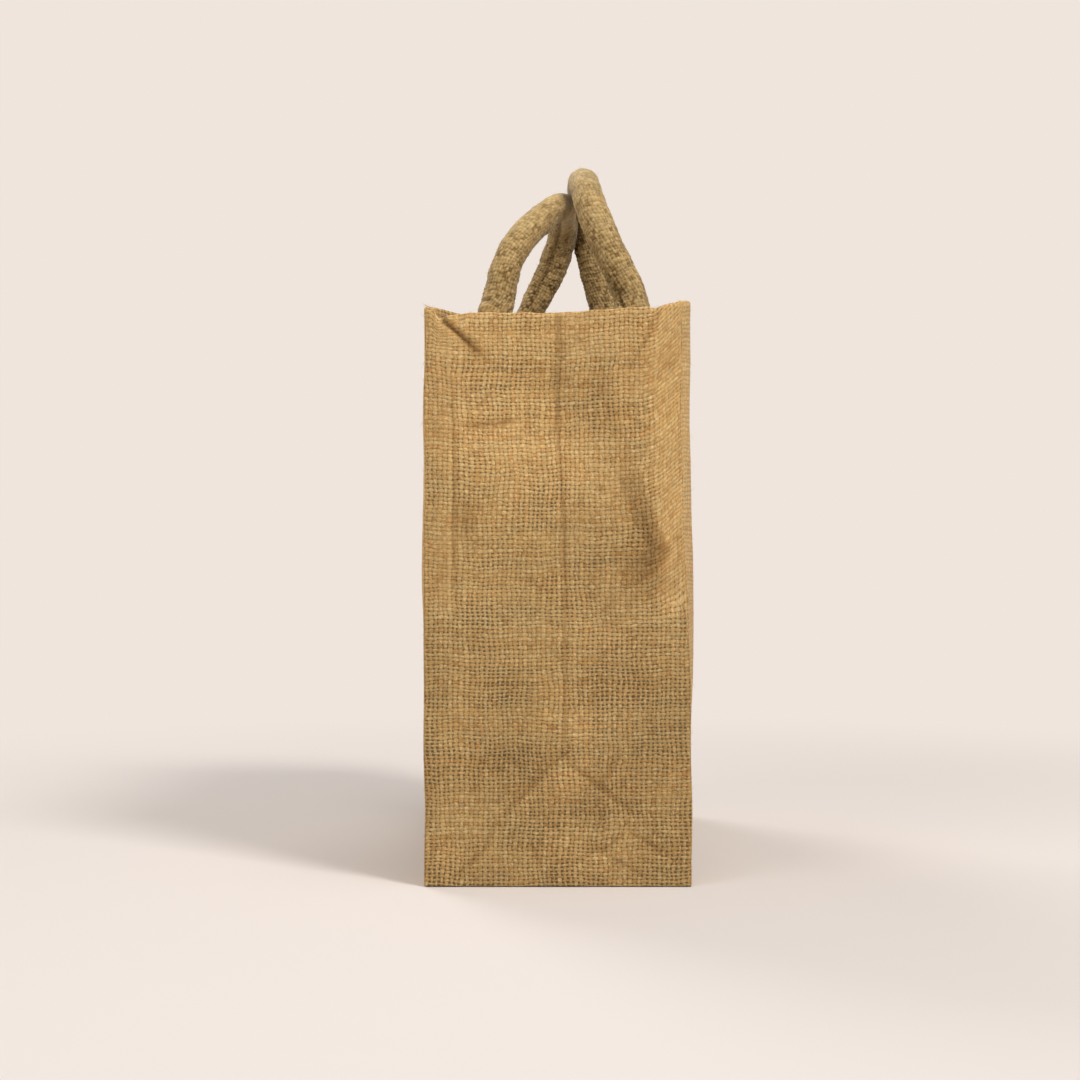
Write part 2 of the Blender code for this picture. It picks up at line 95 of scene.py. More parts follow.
def gusset_table(side):
    """Plan curves of a gusset at all heights; the cloth keeps its length."""
    h = HEIGHTS[:, None]
    place = np.linspace(-HALF_X, HALF_X, 261)[None, :]
    turn, fold = smooth((h - 0.050) / 0.150), smooth((h - 0.062) / 0.180)
    if side < 0:
        angles = [-21.0 * turn, 11.5 * fold, -11.5 * fold, 36.0 * turn]
        folds = [-0.051, 0.0, 0.048]
    else:
        angles = [-18.0 * turn, 24.0 * fold, -24.0 * fold, 18.0 * turn]
        folds = [-0.052, 0.0, 0.052]
    width = [0.004, 0.003, 0.005]
    angle = np.radians(angles[0]) + 0 * place
    for k in range(3):
        f = np.clip((place - folds[k]) / width[k] * 0.5 + 0.5, 0, 1)
        angle = angle + np.radians(angles[k + 1] - angles[k]) * f * f * (3 - 2 * f)
    step = place[0, 1] - place[0, 0]
    mid = (angle[:, 1:] + angle[:, :-1]) / 2
    zero = np.zeros((ROWS, 1))
    x = np.concatenate([zero, np.cumsum(np.cos(mid) * step, 1)], 1)
    y = np.concatenate([zero, np.cumsum(np.sin(mid) * step, 1)], 1)
    x -= x[:, 130:131] + 0.0010 * turn
    x *= 1 + 0.010 * turn
    y -= y.min(1, keepdims=True)
    return x, (-HALF_Y + y if side < 0 else HALF_Y - y)


TABLE_OF = {-1: gusset_table(-1), 1: gusset_table(1)}

RIM_NEAR = [(-0.0644, 0.2811), (-0.0580, 0.2801), (-0.0500, 0.2786), (-0.0420, 0.2780), (-0.034, 0.2782), (0.0, 0.2787),
            (0.038, 0.2806), (0.0450, 0.2811), (0.0490, 0.2809), (0.0525, 0.2817), (0.0580, 0.2831), (0.0644, 0.2848)]
# how far the tuck and the dent pull the near rim down, only in the cloth just below it
RIM_TUCK = [(-0.0644, 0.0), (-0.0618, 0.0), (-0.0606, 0.0003), (-0.0593, 0.0036), (-0.0579, 0.0052), (-0.0535, 0.0038),
            (-0.0475, 0.0014), (-0.0410, 0.0), (0.0440, 0.0), (0.0490, 0.0008), (0.0540, 0.0), (0.0644, 0.0)]
RIM_FAR = [(-0.0644, 0.2840), (-0.045, 0.2800), (0.0, 0.2775), (0.045, 0.2800), (0.0644, 0.2845)]
LEFT_RIM = [(-0.1000, -0.0654), (-0.0850, -0.0622), (-0.0650, -0.0487), (-0.0530, -0.0410),
            (-0.0410, -0.0375), (0.0, -0.0320), (0.0410, -0.0275), (0.0530, -0.0270),
            (0.0650, -0.0295), (0.0880, -0.0455), (0.1020, -0.0560)]
RIGHT_RIM = [(-0.1000, 0.0655), (-0.0850, 0.0634), (-0.0650, 0.0545), (-0.0530, 0.0495),
             (-0.0410, 0.0470), (0.0, 0.0435), (0.0410, 0.0405), (0.0530, 0.0400),
             (0.0650, 0.0420), (0.0880, 0.0525), (0.1020, 0.0590)]


def corner(h, side_x, side_y):
    x, y = TABLE_OF[side_y]
    i = -1 if side_x > 0 else 0
    return np.interp(h, HEIGHTS, x[:, i]), np.interp(h, HEIGHTS, y[:, i])


class Panel:
    """A wall's middle surface: at(u, height), u from -1 to 1, for arrays."""

    def __init__(self, kind):
        self.kind = kind
        self.half = HALF_X if kind in ("near", "far") else HALF_Y

    def rim(self, u):
        if self.kind == "near":
            return through(RIM_NEAR, u * HALF_X)
        if self.kind == "far":
            return through(RIM_FAR, u * HALF_X)
        if self.kind == "left":
            return through([(-1, 0.2811), (-0.80, 0.2842), (-0.68, 0.2850), (-0.52, 0.2840), (-0.42, 0.2857), (-0.32, 0.2865),
                            (0.5, 0.2865), (0.8, 0.2860), (1, 0.2840)], u)
        return through([(-1, 0.2848), (-0.93, 0.2860), (-0.86, 0.2864), (-0.72, 0.2864), (-0.5, 0.2865), (0.5, 0.2865), (0.8, 0.2860), (1, 0.2845)], u)

    def at(self, u, h):
        u, h = np.broadcast_arrays(np.asarray(u, float), np.asarray(h, float))
        h = np.clip(h, 0, H)
        if self.kind in ("near", "far"):
            tx, ty = TABLE_OF[-1 if self.kind == "near" else 1]
            r, c = h / H * (ROWS - 1), (np.clip(u, -1, 1) + 1) / 2 * 260
            r0, c0 = np.minimum(r.astype(int), ROWS - 2), np.minimum(c.astype(int), 259)
            fr, fc = r - r0, c - c0

            def read(t):
                return (t[r0, c0] * (1 - fr) + t[r0 + 1, c0] * fr) * (1 - fc) + (t[r0, c0 + 1] * (1 - fr) + t[r0 + 1, c0 + 1] * fr) * fc

            px, py = read(tx), read(ty)
        else:
            side = -1 if self.kind == "left" else 1
            x0, y0 = corner(h, side, -1)
            x1, y1 = corner(h, side, 1)
            q = (u + 1) / 2
            px, py = x0 + (x1 - x0) * q, y0 + (y1 - y0) * q
            tx0, ty0 = corner(H, side, -1)
            tx1, ty1 = corner(H, side, 1)
            keys = [(float(ty0), float(tx0)), *(LEFT_RIM if side < 0 else RIGHT_RIM), (float(ty1), float(tx1))]
            off = (through(keys, ty0 + (ty1 - ty0) * q) - (tx0 + (tx1 - tx0) * q)) * -side
            t = np.clip((h - 0.085) / (H - 0.085), 0, 1)
            px = px - side * off * np.where(off > 0, t * t * (1.35 - 0.35 * t), smooth((h - 0.045) / 0.13))
        z = h - (H - self.rim(u)) * (h / H) ** 2
        if self.kind == "near":
            z = z - through(RIM_TUCK, u * HALF_X) * smooth((h - (H - 0.026)) / 0.030) ** 1.3
        return np.stack([px, py, z], -1)

    def inward(self, u, h):
        u, h = np.broadcast_arrays(np.asarray(u, float), np.asarray(h, float))
        e, g = 0.004 / self.half, 0.003
        n = normed(np.cross(
            self.at(np.minimum(u + e, 1), h) - self.at(np.maximum(u - e, -1), h),
            self.at(u, np.minimum(h + g, H)) - self.at(u, np.maximum(h - g, 0)),
        ))
        way = {"near": n[..., 1], "far": -n[..., 1], "left": n[..., 0], "right": -n[..., 0]}[self.kind]
        return n * np.sign(way)[..., None]

    def end_point(self, sign, h):
        """Where the wall stops short of the corner, and the way its seam allowance points."""
        here = self.at(sign, h)
        into = self.at(sign * (1 - 0.003 / self.half), h) - here
        into[..., 2] = 0
        into = normed(into)
        other, other_sign = NEIGHBOUR[(self.kind, sign)]
        other = PANELS[other]
        into_other = other.at(other_sign * (1 - 0.003 / other.half), h) - other.at(other_sign, h)
        into_other[..., 2] = 0
        into_other = normed(into_other)
        middle = normed(into + into_other)
        half_angle = np.arccos(np.clip((into * middle).sum(-1, keepdims=True), -1, 1))
        return here + into * (CLOTH + GAP) / 2 / np.sin(half_angle), middle


PANELS = {kind: Panel(kind) for kind in ("near", "far", "left", "right")}
NEIGHBOUR = {
    ("near", -1): ("left", -1), ("near", 1): ("right", -1), ("far", -1): ("left", 1), ("far", 1): ("right", 1),
    ("left", -1): ("near", -1), ("left", 1): ("far", -1), ("right", -1): ("near", 1), ("right", 1): ("far", 1),
}


def settle(p):
    """A slow wander of the whole bag's cloth, the same for every piece, zero at the floor and the rim."""
    x, y, z = p[..., 0], p[..., 1], p[..., 2]
    weight = smooth(z / 0.05) * (1 - smooth((z - 0.235) / 0.04))
    q = p.copy()
    q[..., 0] += 0.00045 * waves(y, z, 11, 0.085) * weight
    q[..., 1] += 0.00060 * waves(x, z, 12, 0.075) * weight
    return q


# ================================================================ folds, dents and bulges of the cloth
def along_line(x, z, points):
    """Signed distance to a line of points (left of the way it runs is positive) and the nearest place's strength."""
    best = np.full(np.shape(x), 1e9)
    signed = np.zeros(np.shape(x))
    strength = np.zeros(np.shape(x))
    for (x0, z0, a), (x1, z1, b) in zip(points, points[1:]):
        dx, dz = x1 - x0, z1 - z0
        length = math.hypot(dx, dz)
        t = np.clip(((x - x0) * dx + (z - z0) * dz) / length**2, 0, 1)
        gap = np.hypot(x - x0 - t * dx, z - z0 - t * dz)
        side = np.sign(dx * (z - z0) - dz * (x - x0))
        closer = gap < best
        best = np.where(closer, gap, best)
        signed = np.where(closer, gap * side, signed)
        strength = np.where(closer, a + (b - a) * smooth(t), strength)
    first, last = points[0], points[-1]
    # past the ends of the line a fold dies away
    for (px, pz, _), (qx, qz, _) in ((first, points[1]), (last, points[-2])):
        out = ((x - px) * (px - qx) + (z - pz) * (pz - qz)) / math.hypot(px - qx, pz - qz)
        strength = strength * (1 - smooth(out / 3.0))
    return signed, strength


def blob(x, z, cx, cz, rx, rz, size):
    return size * np.exp(-(((x - cx) / rx) ** 2) - ((z - cz) / rz) ** 2)


def near_relief(x, z):
    """Outward relief of the near gusset, and the painted shade of its folds, creases and hollows; all in millimetres.
    """
    d, painted_shade = np.zeros(np.shape(x)), np.zeros(np.shape(x))

    def valley(points, depth, width, shade=0.0, reach=None, bank_left=0.0, bank_right=0.0, bank=6.0):
        nonlocal d, painted_shade
        s, k = along_line(x, z, points)
        a = np.abs(s)
        d = d - depth * k * np.exp(-((a / width) ** 1.3))
        d = d + k * np.where(s > 0, bank_left, bank_right) * (1 - np.exp(-((a / width) ** 2))) * np.exp(-a / bank)
        # painted shade along the fold
        painted_shade = painted_shade + shade * k * np.exp(-((a / (reach or width)) ** 1.5))

    # the tuck at the left end of the rim
    valley([(-60.0, 282, 0.6), (-57.6, 277.6, 1.0), (-55.2, 274.2, 1.0), (-50.0, 269.8, 0.95), (-45.4, 265.4, 0.72), (-41.4, 261.2, 0.42), (-38.0, 258.6, 0.14), (-34.0, 256.0, 0.0)], 2.0, 1.20, 1.15, 1.00,
           bank_left=2.3, bank_right=0.3, bank=7.5)
    # the pressed middle crease
    valley([(0.2, 282, 0.8), (0.3, 250, 1.0), (0.6, 215, 0.8), (1.6, 196, 0.7), (3.0, 180, 1.0), (3.4, 130, 0.8), (3.3, 70, 0.7)],
           0.55, 1.3, 0.26, 1.2, bank_left=0.2, bank_right=0.2, bank=5)
    valley([(-0.8, 276, 0.7), (0.2, 236, 1.0), (0.6, 205, 0.0)], 0.45, 3.6, 0.16, 3.6)
    # the creases that fold the base, in an inverted V
    valley([(2.5, 64.5, 0.5), (-8, 54, 0.9), (-18.4, 43, 1.0), (-29, 32.5, 0.4), (-36.3, 17.5, 0.55), (-46, 8, 0.75), (-54, 1, 0.2)],
           0.80, 2.7, 0.15, 3.0, bank_left=1.1, bank_right=0.0, bank=8)
    valley([(2.5, 64.5, 0.5), (10, 56.5, 0.8), (19, 49, 1.0), (29, 41.5, 0.8), (40, 32.5, 0.25), (58, 16, 0.22)],
           0.80, 2.7, 0.16, 3.2, bank_left=0.0, bank_right=1.1, bank=8)
    valley([(33, 74, 0.0), (26, 59, 1.0), (18.5, 43, 0.3)], 0.6, 3.4, 0.14, 3.0, bank_left=0.4, bank=5)
    valley([(-14, 23, 0.3), (-11, 15, 1.0), (-9, 9, 0.3)], 0.7, 1.9, 0.12, 1.8, bank_right=0.4)
    valley([(3, 9.5, 0.2), (12, 13.5, 0.8), (19.5, 18, 0.6), (35, 8.5, 1.0), (44, 3, 0.2)], 0.6, 2.2, 0.10, 2.4, bank_right=0.6)
    valley([(19, 14, 0.2), (27, 21.5, 0.6), (33.3, 27.6, 0.6), (48, 18.5, 1.0), (62, 9.5, 0.3)], 0.7, 2.4, 0.12, 2.6, bank_right=0.7)
    # wrinkle, left line, soft folds at the top right
    valley([(-48, 223.0, 0.4), (-40, 223.2, 1.0), (-28, 224.6, 1.0), (-18, 227.2, 0.1)], 1.0, 2.4, 0.13, 2.2, bank_left=0.8, bank_right=0.3, bank=6)
    valley([(-50.2, 252, 0.0), (-50.2, 225, 1.0), (-50.4, 175, 1.0), (-50.2, 130, 0.2)], 0.6, 1.6, 0.20, 1.7, bank_left=0.1, bank_right=0.2, bank=4)
    valley([(50, 283, 1.0), (45.5, 271, 0.9), (39, 259, 0.6), (34, 249, 0.0)], 0.9, 3.6, 0.17, 3.6, bank_left=0.6, bank_right=0.3, bank=5)
    valley([(21.0, 254, 0.0), (23.0, 238, 0.7), (28.5, 219, 0.8), (33.0, 208, 0.3), (37.0, 200, 0.0)], 0.55, 6.0, 0.12, 6.0, bank_left=0.4, bank_right=0.1, bank=7)
    # the hollow at the right: it falls back from a bent edge
    s, k = along_line(x, z, [(32.0, 219, 0.0), (37.0, 205, 0.25), (41.8, 193.7, 0.48), (47.6, 178, 0.80), (53.2, 166, 1.0), (54.4, 161.5, 1.0), (47.5, 153.0, 1.0), (38.0, 146.0, 0.60), (29.0, 141.5, 0.0)])
    inside = np.clip(-s, 0, None)
    hollow = smooth(inside / 9.5) * np.exp(-np.clip(inside - 9.5, 0, None) / 11.0)
    d = d - 3.2 * k * np.where(s < 0, hollow, 0.0) + 0.60 * k * np.exp(-(((s - 1.5) / 3.2) ** 2))
    # painted shade in the hollow, left of its bent edge
    painted_shade = painted_shade + 0.62 * k * np.exp(-((np.clip(-s - 1.5, 0, None) / 9.5) ** 1.3)) * smooth((1.2 - s) / 2.4)
    # bulges and dents
    for cx, cz, rx, rz, size in (
        (-24, 201, 21, 17, 2.4), (-31, 232, 17, 7, 1.5), (9, 203, 11, 14, 1.4), (30.5, 238, 7, 17, 1.5),
        (-45.2, 177.5, 7, 10, -2.0), (3.0, 49, 9, 9, 3.0), (4.0, 22, 11, 11, 1.2), (17.5, 8, 7, 7, 1.2), (-28, 15, 9, 9, 1.1),
        (40, 105, 18, 24, 1.0), (-36, 104, 20, 24, 0.9), (-25, 62, 16, 12, -0.7), (44, 52, 10, 18, 0.9),
        (-38, 268, 8, 8, 0.8), (20, 128, 16, 14, -0.8), (-15, 150, 22, 11, -1.2), (8, 258, 12, 12, 0.8),
    ):
        d = d + blob(x, z, cx, cz, rx, rz, size)
    # painted shade in the dent at the left, at the lower end of the tuck and under the hollow's bend
    painted_shade = painted_shade + blob(x, z, -44.5, 177.5, 6, 9, 0.22) + blob(x, z, -45.0, 265.2, 3.2, 2.8, 0.34) + blob(x, z, -41.0, 261.4, 3.6, 3.4, 0.46)
    painted_shade = painted_shade + (blob(x, z, 49.5, 157.5, 4.5, 6.0, 0.30) + blob(x, z, 43.0, 150.5, 5.5, 5.0, 0.26)) * (x < 54.4)
    return d, painted_shade


def far_relief(x, z):
    """The far gusset has the same pressed creases, and softer dents of its own."""
    d, painted_shade = np.zeros(np.shape(x)), np.zeros(np.shape(x))
    for points, depth, width, shade, left, right in (
        ([(0, 283, 1.0), (-1, 190, 0.9), (-0.5, 72, 0.8)], 0.7, 1.5, 0.28, 0.3, 0.3),
        ([(-0.5, 70, 0.7), (-30, 34, 1.0), (-56, 6, 0.4)], 0.8, 2.2, 0.18, 0.7, 0.1),
        ([(-0.5, 70, 0.7), (29, 36, 1.0), (56, 6, 0.4)], 0.8, 2.2, 0.18, 0.1, 0.7),
        ([(46, 262, 0.0), (41, 236, 1.0), (37, 205, 0.0)], 1.3, 3.2, 0.2, 0.6, 0.2),
        ([(-50, 250, 0.0), (-49, 200, 1.0), (-50, 130, 0.2)], 0.5, 1.6, 0.14, 0.2, 0.2),
        ([(-42, 176, 0.2), (-30, 170, 1.0), (-12, 171, 0.1)], 1.0, 2.4, 0.14, 0.8, 0.2),
    ):
        s, k = along_line(x, z, points)
        a = np.abs(s)
        d = d - depth * k * np.exp(-((a / width) ** 1.3)) + k * np.where(s > 0, left, right) * (1 - np.exp(-((a / width) ** 2))) * np.exp(-a / 6.5)
        # painted shade along each crease
        painted_shade = painted_shade + shade * k * np.exp(-((a / width) ** 1.5))
    for cx, cz, rx, rz, size in ((-26, 205, 20, 22, 1.6), (25, 160, 18, 24, 1.5), (1, 47, 11, 10, 1.5), (26, 232, 14, 14, -1.0), (-30, 110, 18, 20, 0.9)):
        d = d + blob(x, z, cx, cz, rx, rz, size)
    return d, painted_shade


def wide_relief(x, z, side):
    """Wide panels: x runs along the panel from the near corner, in millimetres from its middle."""
    d, painted_shade = np.zeros(np.shape(x)), np.zeros(np.shape(x))
    lines = [
        # where the base was folded up against the panel, and the soft folds the handles pull
        ([(-118, 66, 0.3), (-60, 64.6, 0.8), (0, 65.4, 1.0), (70, 64.7, 0.8), (118, 66, 0.3)], 0.6, 1.7, 0.16, 0.3, 0.2),
        ([(-52, 236, 0.9), (-47, 205, 0.7), (-36, 160, 0.0)], 1.2, 4.5, 0.12, 0.8, 0.3),
        ([(52, 236, 0.9), (46, 208, 0.7), (33, 168, 0.0)], 1.2, 4.5, 0.12, 0.3, 0.8),
        ([(-66, 232, 0.7), (-78, 200, 0.7), (-92, 172, 0.0)], 1.0, 4.0, 0.10, 0.3, 0.7),
        ([(66, 232, 0.7), (76, 204, 0.7), (94, 166, 0.0)], 1.0, 4.0, 0.10, 0.7, 0.3),
        ([(-100, 150, 0.0), (-70, 138, 1.0), (-30, 142, 0.0)], 1.3, 3.4, 0.16, 0.9, 0.2),
        ([(20, 186, 0.0), (50, 176, 1.0), (84, 184, 0.0)], 1.2, 3.2, 0.16, 0.9, 0.2),
        ([(0, 250, 0.3), (4, 215, 0.8), (1, 180, 0.0)], 0.8, 5.0, 0.06, 0.4, 0.4),
    ]
    if side > 0:
        lines[5] = ([(102, 132, 0.0), (66, 146, 1.0), (28, 138, 0.0)], 1.3, 3.4, 0.16, 0.2, 0.9)
        lines[6] = ([(-22, 176, 0.0), (-54, 184, 1.0), (-88, 172, 0.0)], 1.2, 3.2, 0.16, 0.2, 0.9)
    for points, depth, width, shade, left, right in lines:
        s, k = along_line(x, z, points)
        a = np.abs(s)
        d = d - depth * k * np.exp(-((a / width) ** 1.3)) + k * np.where(s > 0, left, right) * (1 - np.exp(-((a / width) ** 2))) * np.exp(-a / 8)
        # painted shade along each fold
        painted_shade = painted_shade + shade * k * np.exp(-((a / width) ** 1.5))
    for cx, cz, rx, rz, size in (
        (-5, 120, 60, 40, 1.8), (60 * side, 95, 34, 26, -1.0), (-70 * side, 110, 26, 30, 1.0), (0, 30, 70, 16, 0.9),
        (-30 * side, 190, 26, 20, 1.3), (38 * side, 215, 18, 22, -0.9), (100 * side, 200, 14, 40, 0.8), (-100 * side, 60, 14, 22, 0.7),
    ):
        d = d + blob(x, z, cx, cz, rx, rz, size)
    return d, painted_shade


def relief_of(kind, place, h):
    """Outward displacement in metres of a panel's cloth, and how much painted shade its folds get."""
    x, z = place * 1000, h * 1000
    if kind in ("near", "far"):
        world = PANELS[kind].at(place / HALF_X, h) * 1000
        if kind == "near":
            d, painted_shade = near_relief(world[..., 0], world[..., 2])
            seed, half = 20, HALF_X
        else:
            d, painted_shade = far_relief(-world[..., 0], world[..., 2])
            seed, half = 30, HALF_X
    else:
        d, painted_shade = wide_relief(x, z, -1 if kind == "left" else 1)
        seed, half = (40 if kind == "left" else 50), HALF_Y
    d = d + 0.30 * waves(x, z, seed, 62) + 0.15 * waves(x, z, seed + 1, 27) + 0.06 * waves(x, z, seed + 2, 11) + 0.025 * waves(x, z, seed + 3, 5)
    edge = (half - np.abs(place)) * 1000
    d = d * smooth(edge / 7.5) * smooth((z + 1.0) / 9.0)
    if kind in ("left", "right"):
        # beside the near corners the panels stay straight, as the bag's outline shows
        d = d * (0.25 + 0.75 * smooth((x + 124) / 60))
    if kind in ("left", "right"):
        # the handles' ends and the hem keep the cloth flat where they are sewn to it
        calm = np.exp(-(((np.abs(x) - 53) / 17) ** 2) - (((z - 262) / 24) ** 2))
        d = d * (1 - 0.85 * calm) * (1 - 0.45 * smooth((z - 262) / 14))
    return d / 1000, np.clip(painted_shade, 0, 1)


# ================================================================ meshes
def mesh_piece(name, verts, faces, materials, uv=None, loop_uv=None, face_material=None, values=None, sharp=None):
    """A mesh object; faces may be arrays of quads and triangles. It turns itself the right way out."""
    lists = []
    for f in faces:
        lists.extend(f.tolist() if isinstance(f, np.ndarray) else f)
    verts = np.asarray(verts, float)
    total = 0.0
    for f in faces:
        if isinstance(f, np.ndarray) and len(f):
            for k in range(1, f.shape[1] - 1):
                total += np.einsum("ij,ij->", verts[f[:, 0]], np.cross(verts[f[:, k]], verts[f[:, k + 1]]))
    if total < 0:
        lists = [f[::-1] for f in lists]
        if loop_uv is not None:
            loop_uv = [c[::-1] for c in loop_uv]
    mesh = bpy.data.meshes.new(name)
    mesh.from_pydata(verts.tolist(), [], lists)
    for m in materials:
        mesh.materials.append(m)
    layer = mesh.uv_layers.new(name="cloth")
    if loop_uv is not None:
        layer.data.foreach_set("uv", np.array([c for corners in loop_uv for c in corners], np.float32).ravel())
    elif uv is not None:
        index = np.empty(len(mesh.loops), np.int32)
        mesh.loops.foreach_get("vertex_index", index)
        layer.data.foreach_set("uv", np.asarray(uv, np.float32)[index].ravel())
    if face_material is not None:
        mesh.polygons.foreach_set("material_index", np.asarray(face_material, np.int32))
    for key, value in (values or {}).items():
        mesh.attributes.new(key, "FLOAT", "POINT").data.foreach_set("value", np.asarray(value, np.float32))
    mesh.update()
    mesh.shade_smooth()
    if sharp:
        mesh.set_sharp_from_angle(angle=math.radians(sharp))
    obj = bpy.data.objects.new(name, mesh)
    bpy.context.scene.collection.objects.link(obj)
    return obj


def tube(points, radius, sides=8, closed=False, twist=0.0):
    """Vertices, faces and per-corner UV (round, along in metres) of a round tube along a dense line."""
    p = np.asarray(points, float)
    n = len(p)
    if closed:
        t = normed(np.roll(p, -1, 0) - np.roll(p, 1, 0))
    else:
        t = normed(np.gradient(p, axis=0))
    radius = np.broadcast_to(np.asarray(radius, float), (n,))
    up = np.array([0.0, 0.0, 1.0]) if abs(t[0][2]) < 0.9 else np.array([1.0, 0.0, 0.0])
    u = normed(np.cross(t[0], up))
    frames = []
    for i in range(n):
        u = u - t[i] * float(np.dot(u, t[i]))
        u = u / max(np.linalg.norm(u), 1e-12)
        frames.append((u, np.cross(t[i], u)))
    a = 2 * math.pi * np.arange(sides) / sides
    s = np.concatenate([[0], np.cumsum(np.linalg.norm(np.diff(p, axis=0), axis=1))])
    rings = np.stack([
        p[i] + radius[i] * (np.cos(a + twist * s[i])[:, None] * frames[i][0] + np.sin(a + twist * s[i])[:, None] * frames[i][1])
        for i in range(n)
    ])
    verts = rings.reshape(-1, 3)
    faces, uvs = [], []
    for i in range(n if closed else n - 1):
        j = (i + 1) % n
        s1 = s[j] if j else s[-1] + 0.001
        for k in range(sides):
            m = (k + 1) % sides
            faces.append([i * sides + k, j * sides + k, j * sides + m, i * sides + m])
            u0, u1 = k / sides, (k + 1) / sides
            uvs.append([(u0, s[i]), (u0, s1), (u1, s1), (u1, s[i])])
    if not closed:
        faces.append([k for k in range(sides)])
        uvs.append([(0.5, 0.0)] * sides)
        faces.append([(n - 1) * sides + k for k in range(sides)][::-1])
        uvs.append([(0.5, s[-1])] * sides)
    return verts, faces, uvs


def merge(parts):
    verts, faces, uvs, base = [], [], [], 0
    for v, f, c in parts:
        verts.append(v)
        faces += [[i + base for i in face] for face in f]
        uvs += c
        base += len(v)
    return np.concatenate(verts), faces, uvs


def facing_out(parts):
    """Each closed part turned so that its faces point outwards."""
    made = []
    for v, f, c in parts:
        total = 0.0
        for face in f:
            for k in range(1, len(face) - 1):
                total += float(np.dot(v[face[0]], np.cross(v[face[k]], v[face[k + 1]])))
        if total < 0:
            f, c = [x[::-1] for x in f], [x[::-1] for x in c]
        made.append((v, f, c))
    return made


# ================================================================ materials
class Nodes:
    """A material's nodes, with short names for the sums a weave needs."""

    def __init__(self, name):
        self.material = bpy.data.materials.new(name)
        self.material.use_nodes = True
        self.tree = self.material.node_tree
        self.tree.nodes.clear()

    def node(self, kind, **settings):
        made = self.tree.nodes.new(kind)
        for key, value in settings.items():
            setattr(made, key, value)
        return made

    def put(self, socket, value):
        if isinstance(value, bpy.types.NodeSocket):
            self.tree.links.new(value, socket)
        else:
            socket.default_value = value

    def m(self, operation, *values, clamp=False):
        made = self.node("ShaderNodeMath", operation=operation, use_clamp=clamp)
        for i, value in enumerate(values):
            self.put(made.inputs[i], value)
        return made.outputs[0]

    def add(self, *v):
        total = v[0]
        for x in v[1:]:
            total = self.m("ADD", total, x)
        return total

    def sub(self, a, b):
        return self.m("SUBTRACT", a, b)

    def mul(self, *v):
        total = v[0]
        for x in v[1:]:
            total = self.m("MULTIPLY", total, x)
        return total

    def fit(self, value, a, b, c=0.0, d=1.0, kind="LINEAR"):
        made = self.node("ShaderNodeMapRange", interpolation_type=kind, clamp=True)
        for i, x in enumerate((value, a, b, c, d)):
            self.put(made.inputs[i], x)
        return made.outputs[0]

    def xyz(self, x, y, z=0.0):
        made = self.node("ShaderNodeCombineXYZ")
        for i, value in enumerate((x, y, z)):
            self.put(made.inputs[i], value)
        return made.outputs[0]

    def split(self, vector):
        made = self.node("ShaderNodeSeparateXYZ")
        self.put(made.inputs[0], vector)
        return made.outputs

    def split_colour(self, colour):
        made = self.node("ShaderNodeSeparateColor")
        self.put(made.inputs[0], colour)
        return made.outputs

    def noise(self, vector, scale=1.0, detail=1.0, dims="2D"):
        made = self.node("ShaderNodeTexNoise", noise_dimensions=dims)
        self.put(made.inputs["Vector"], vector)
        made.inputs["Scale"].default_value = scale
        made.inputs["Detail"].default_value = detail
        return made.outputs[0], made.outputs[1]

    def random(self, value):
        made = self.node("ShaderNodeTexWhiteNoise", noise_dimensions="1D")
        self.put(made.inputs["W"], value)
        return made.outputs[0], made.outputs[1]

    def mix(self, factor, a, b, blend="MIX"):
        made = self.node("ShaderNodeMix", data_type="RGBA", blend_type=blend)
        self.put(made.inputs[0], factor)
        for socket, value in ((made.inputs[6], a), (made.inputs[7], b)):
            self.put(socket, value if isinstance(value, bpy.types.NodeSocket) else (*value, 1.0))
        return made.outputs[2]

    def value(self, name):
        return self.node("ShaderNodeAttribute", attribute_name=name, attribute_type="GEOMETRY").outputs[2]

    def bump(self, height, distance, strength=1.0, normal=None):
        made = self.node("ShaderNodeBump")
        made.inputs["Strength"].default_value = strength
        made.inputs["Distance"].default_value = distance
        self.put(made.inputs["Height"], height)
        if normal is not None:
            self.put(made.inputs["Normal"], normal)
        return made.outputs[0]

    def shader(self, colour, roughness, normal=None, **constants):
        made = self.node("ShaderNodeBsdfPrincipled")
        self.put(made.inputs["Base Color"], colour)
        self.put(made.inputs["Roughness"], roughness)
        if normal is not None:
            self.put(made.inputs["Normal"], normal)
        for key, value in constants.items():
            made.inputs[key.replace("_", " ")].default_value = value
        out = self.node("ShaderNodeOutputMaterial")
        self.tree.links.new(made.outputs[0], out.inputs[0])
        return self.material


def linear(r, g, b):
    def one(c):
        c /= 255
        return c / 12.92 if c <= 0.04045 else ((c + 0.055) / 1.055) ** 2.4
    return tuple(one(c) for c in (r, g, b))


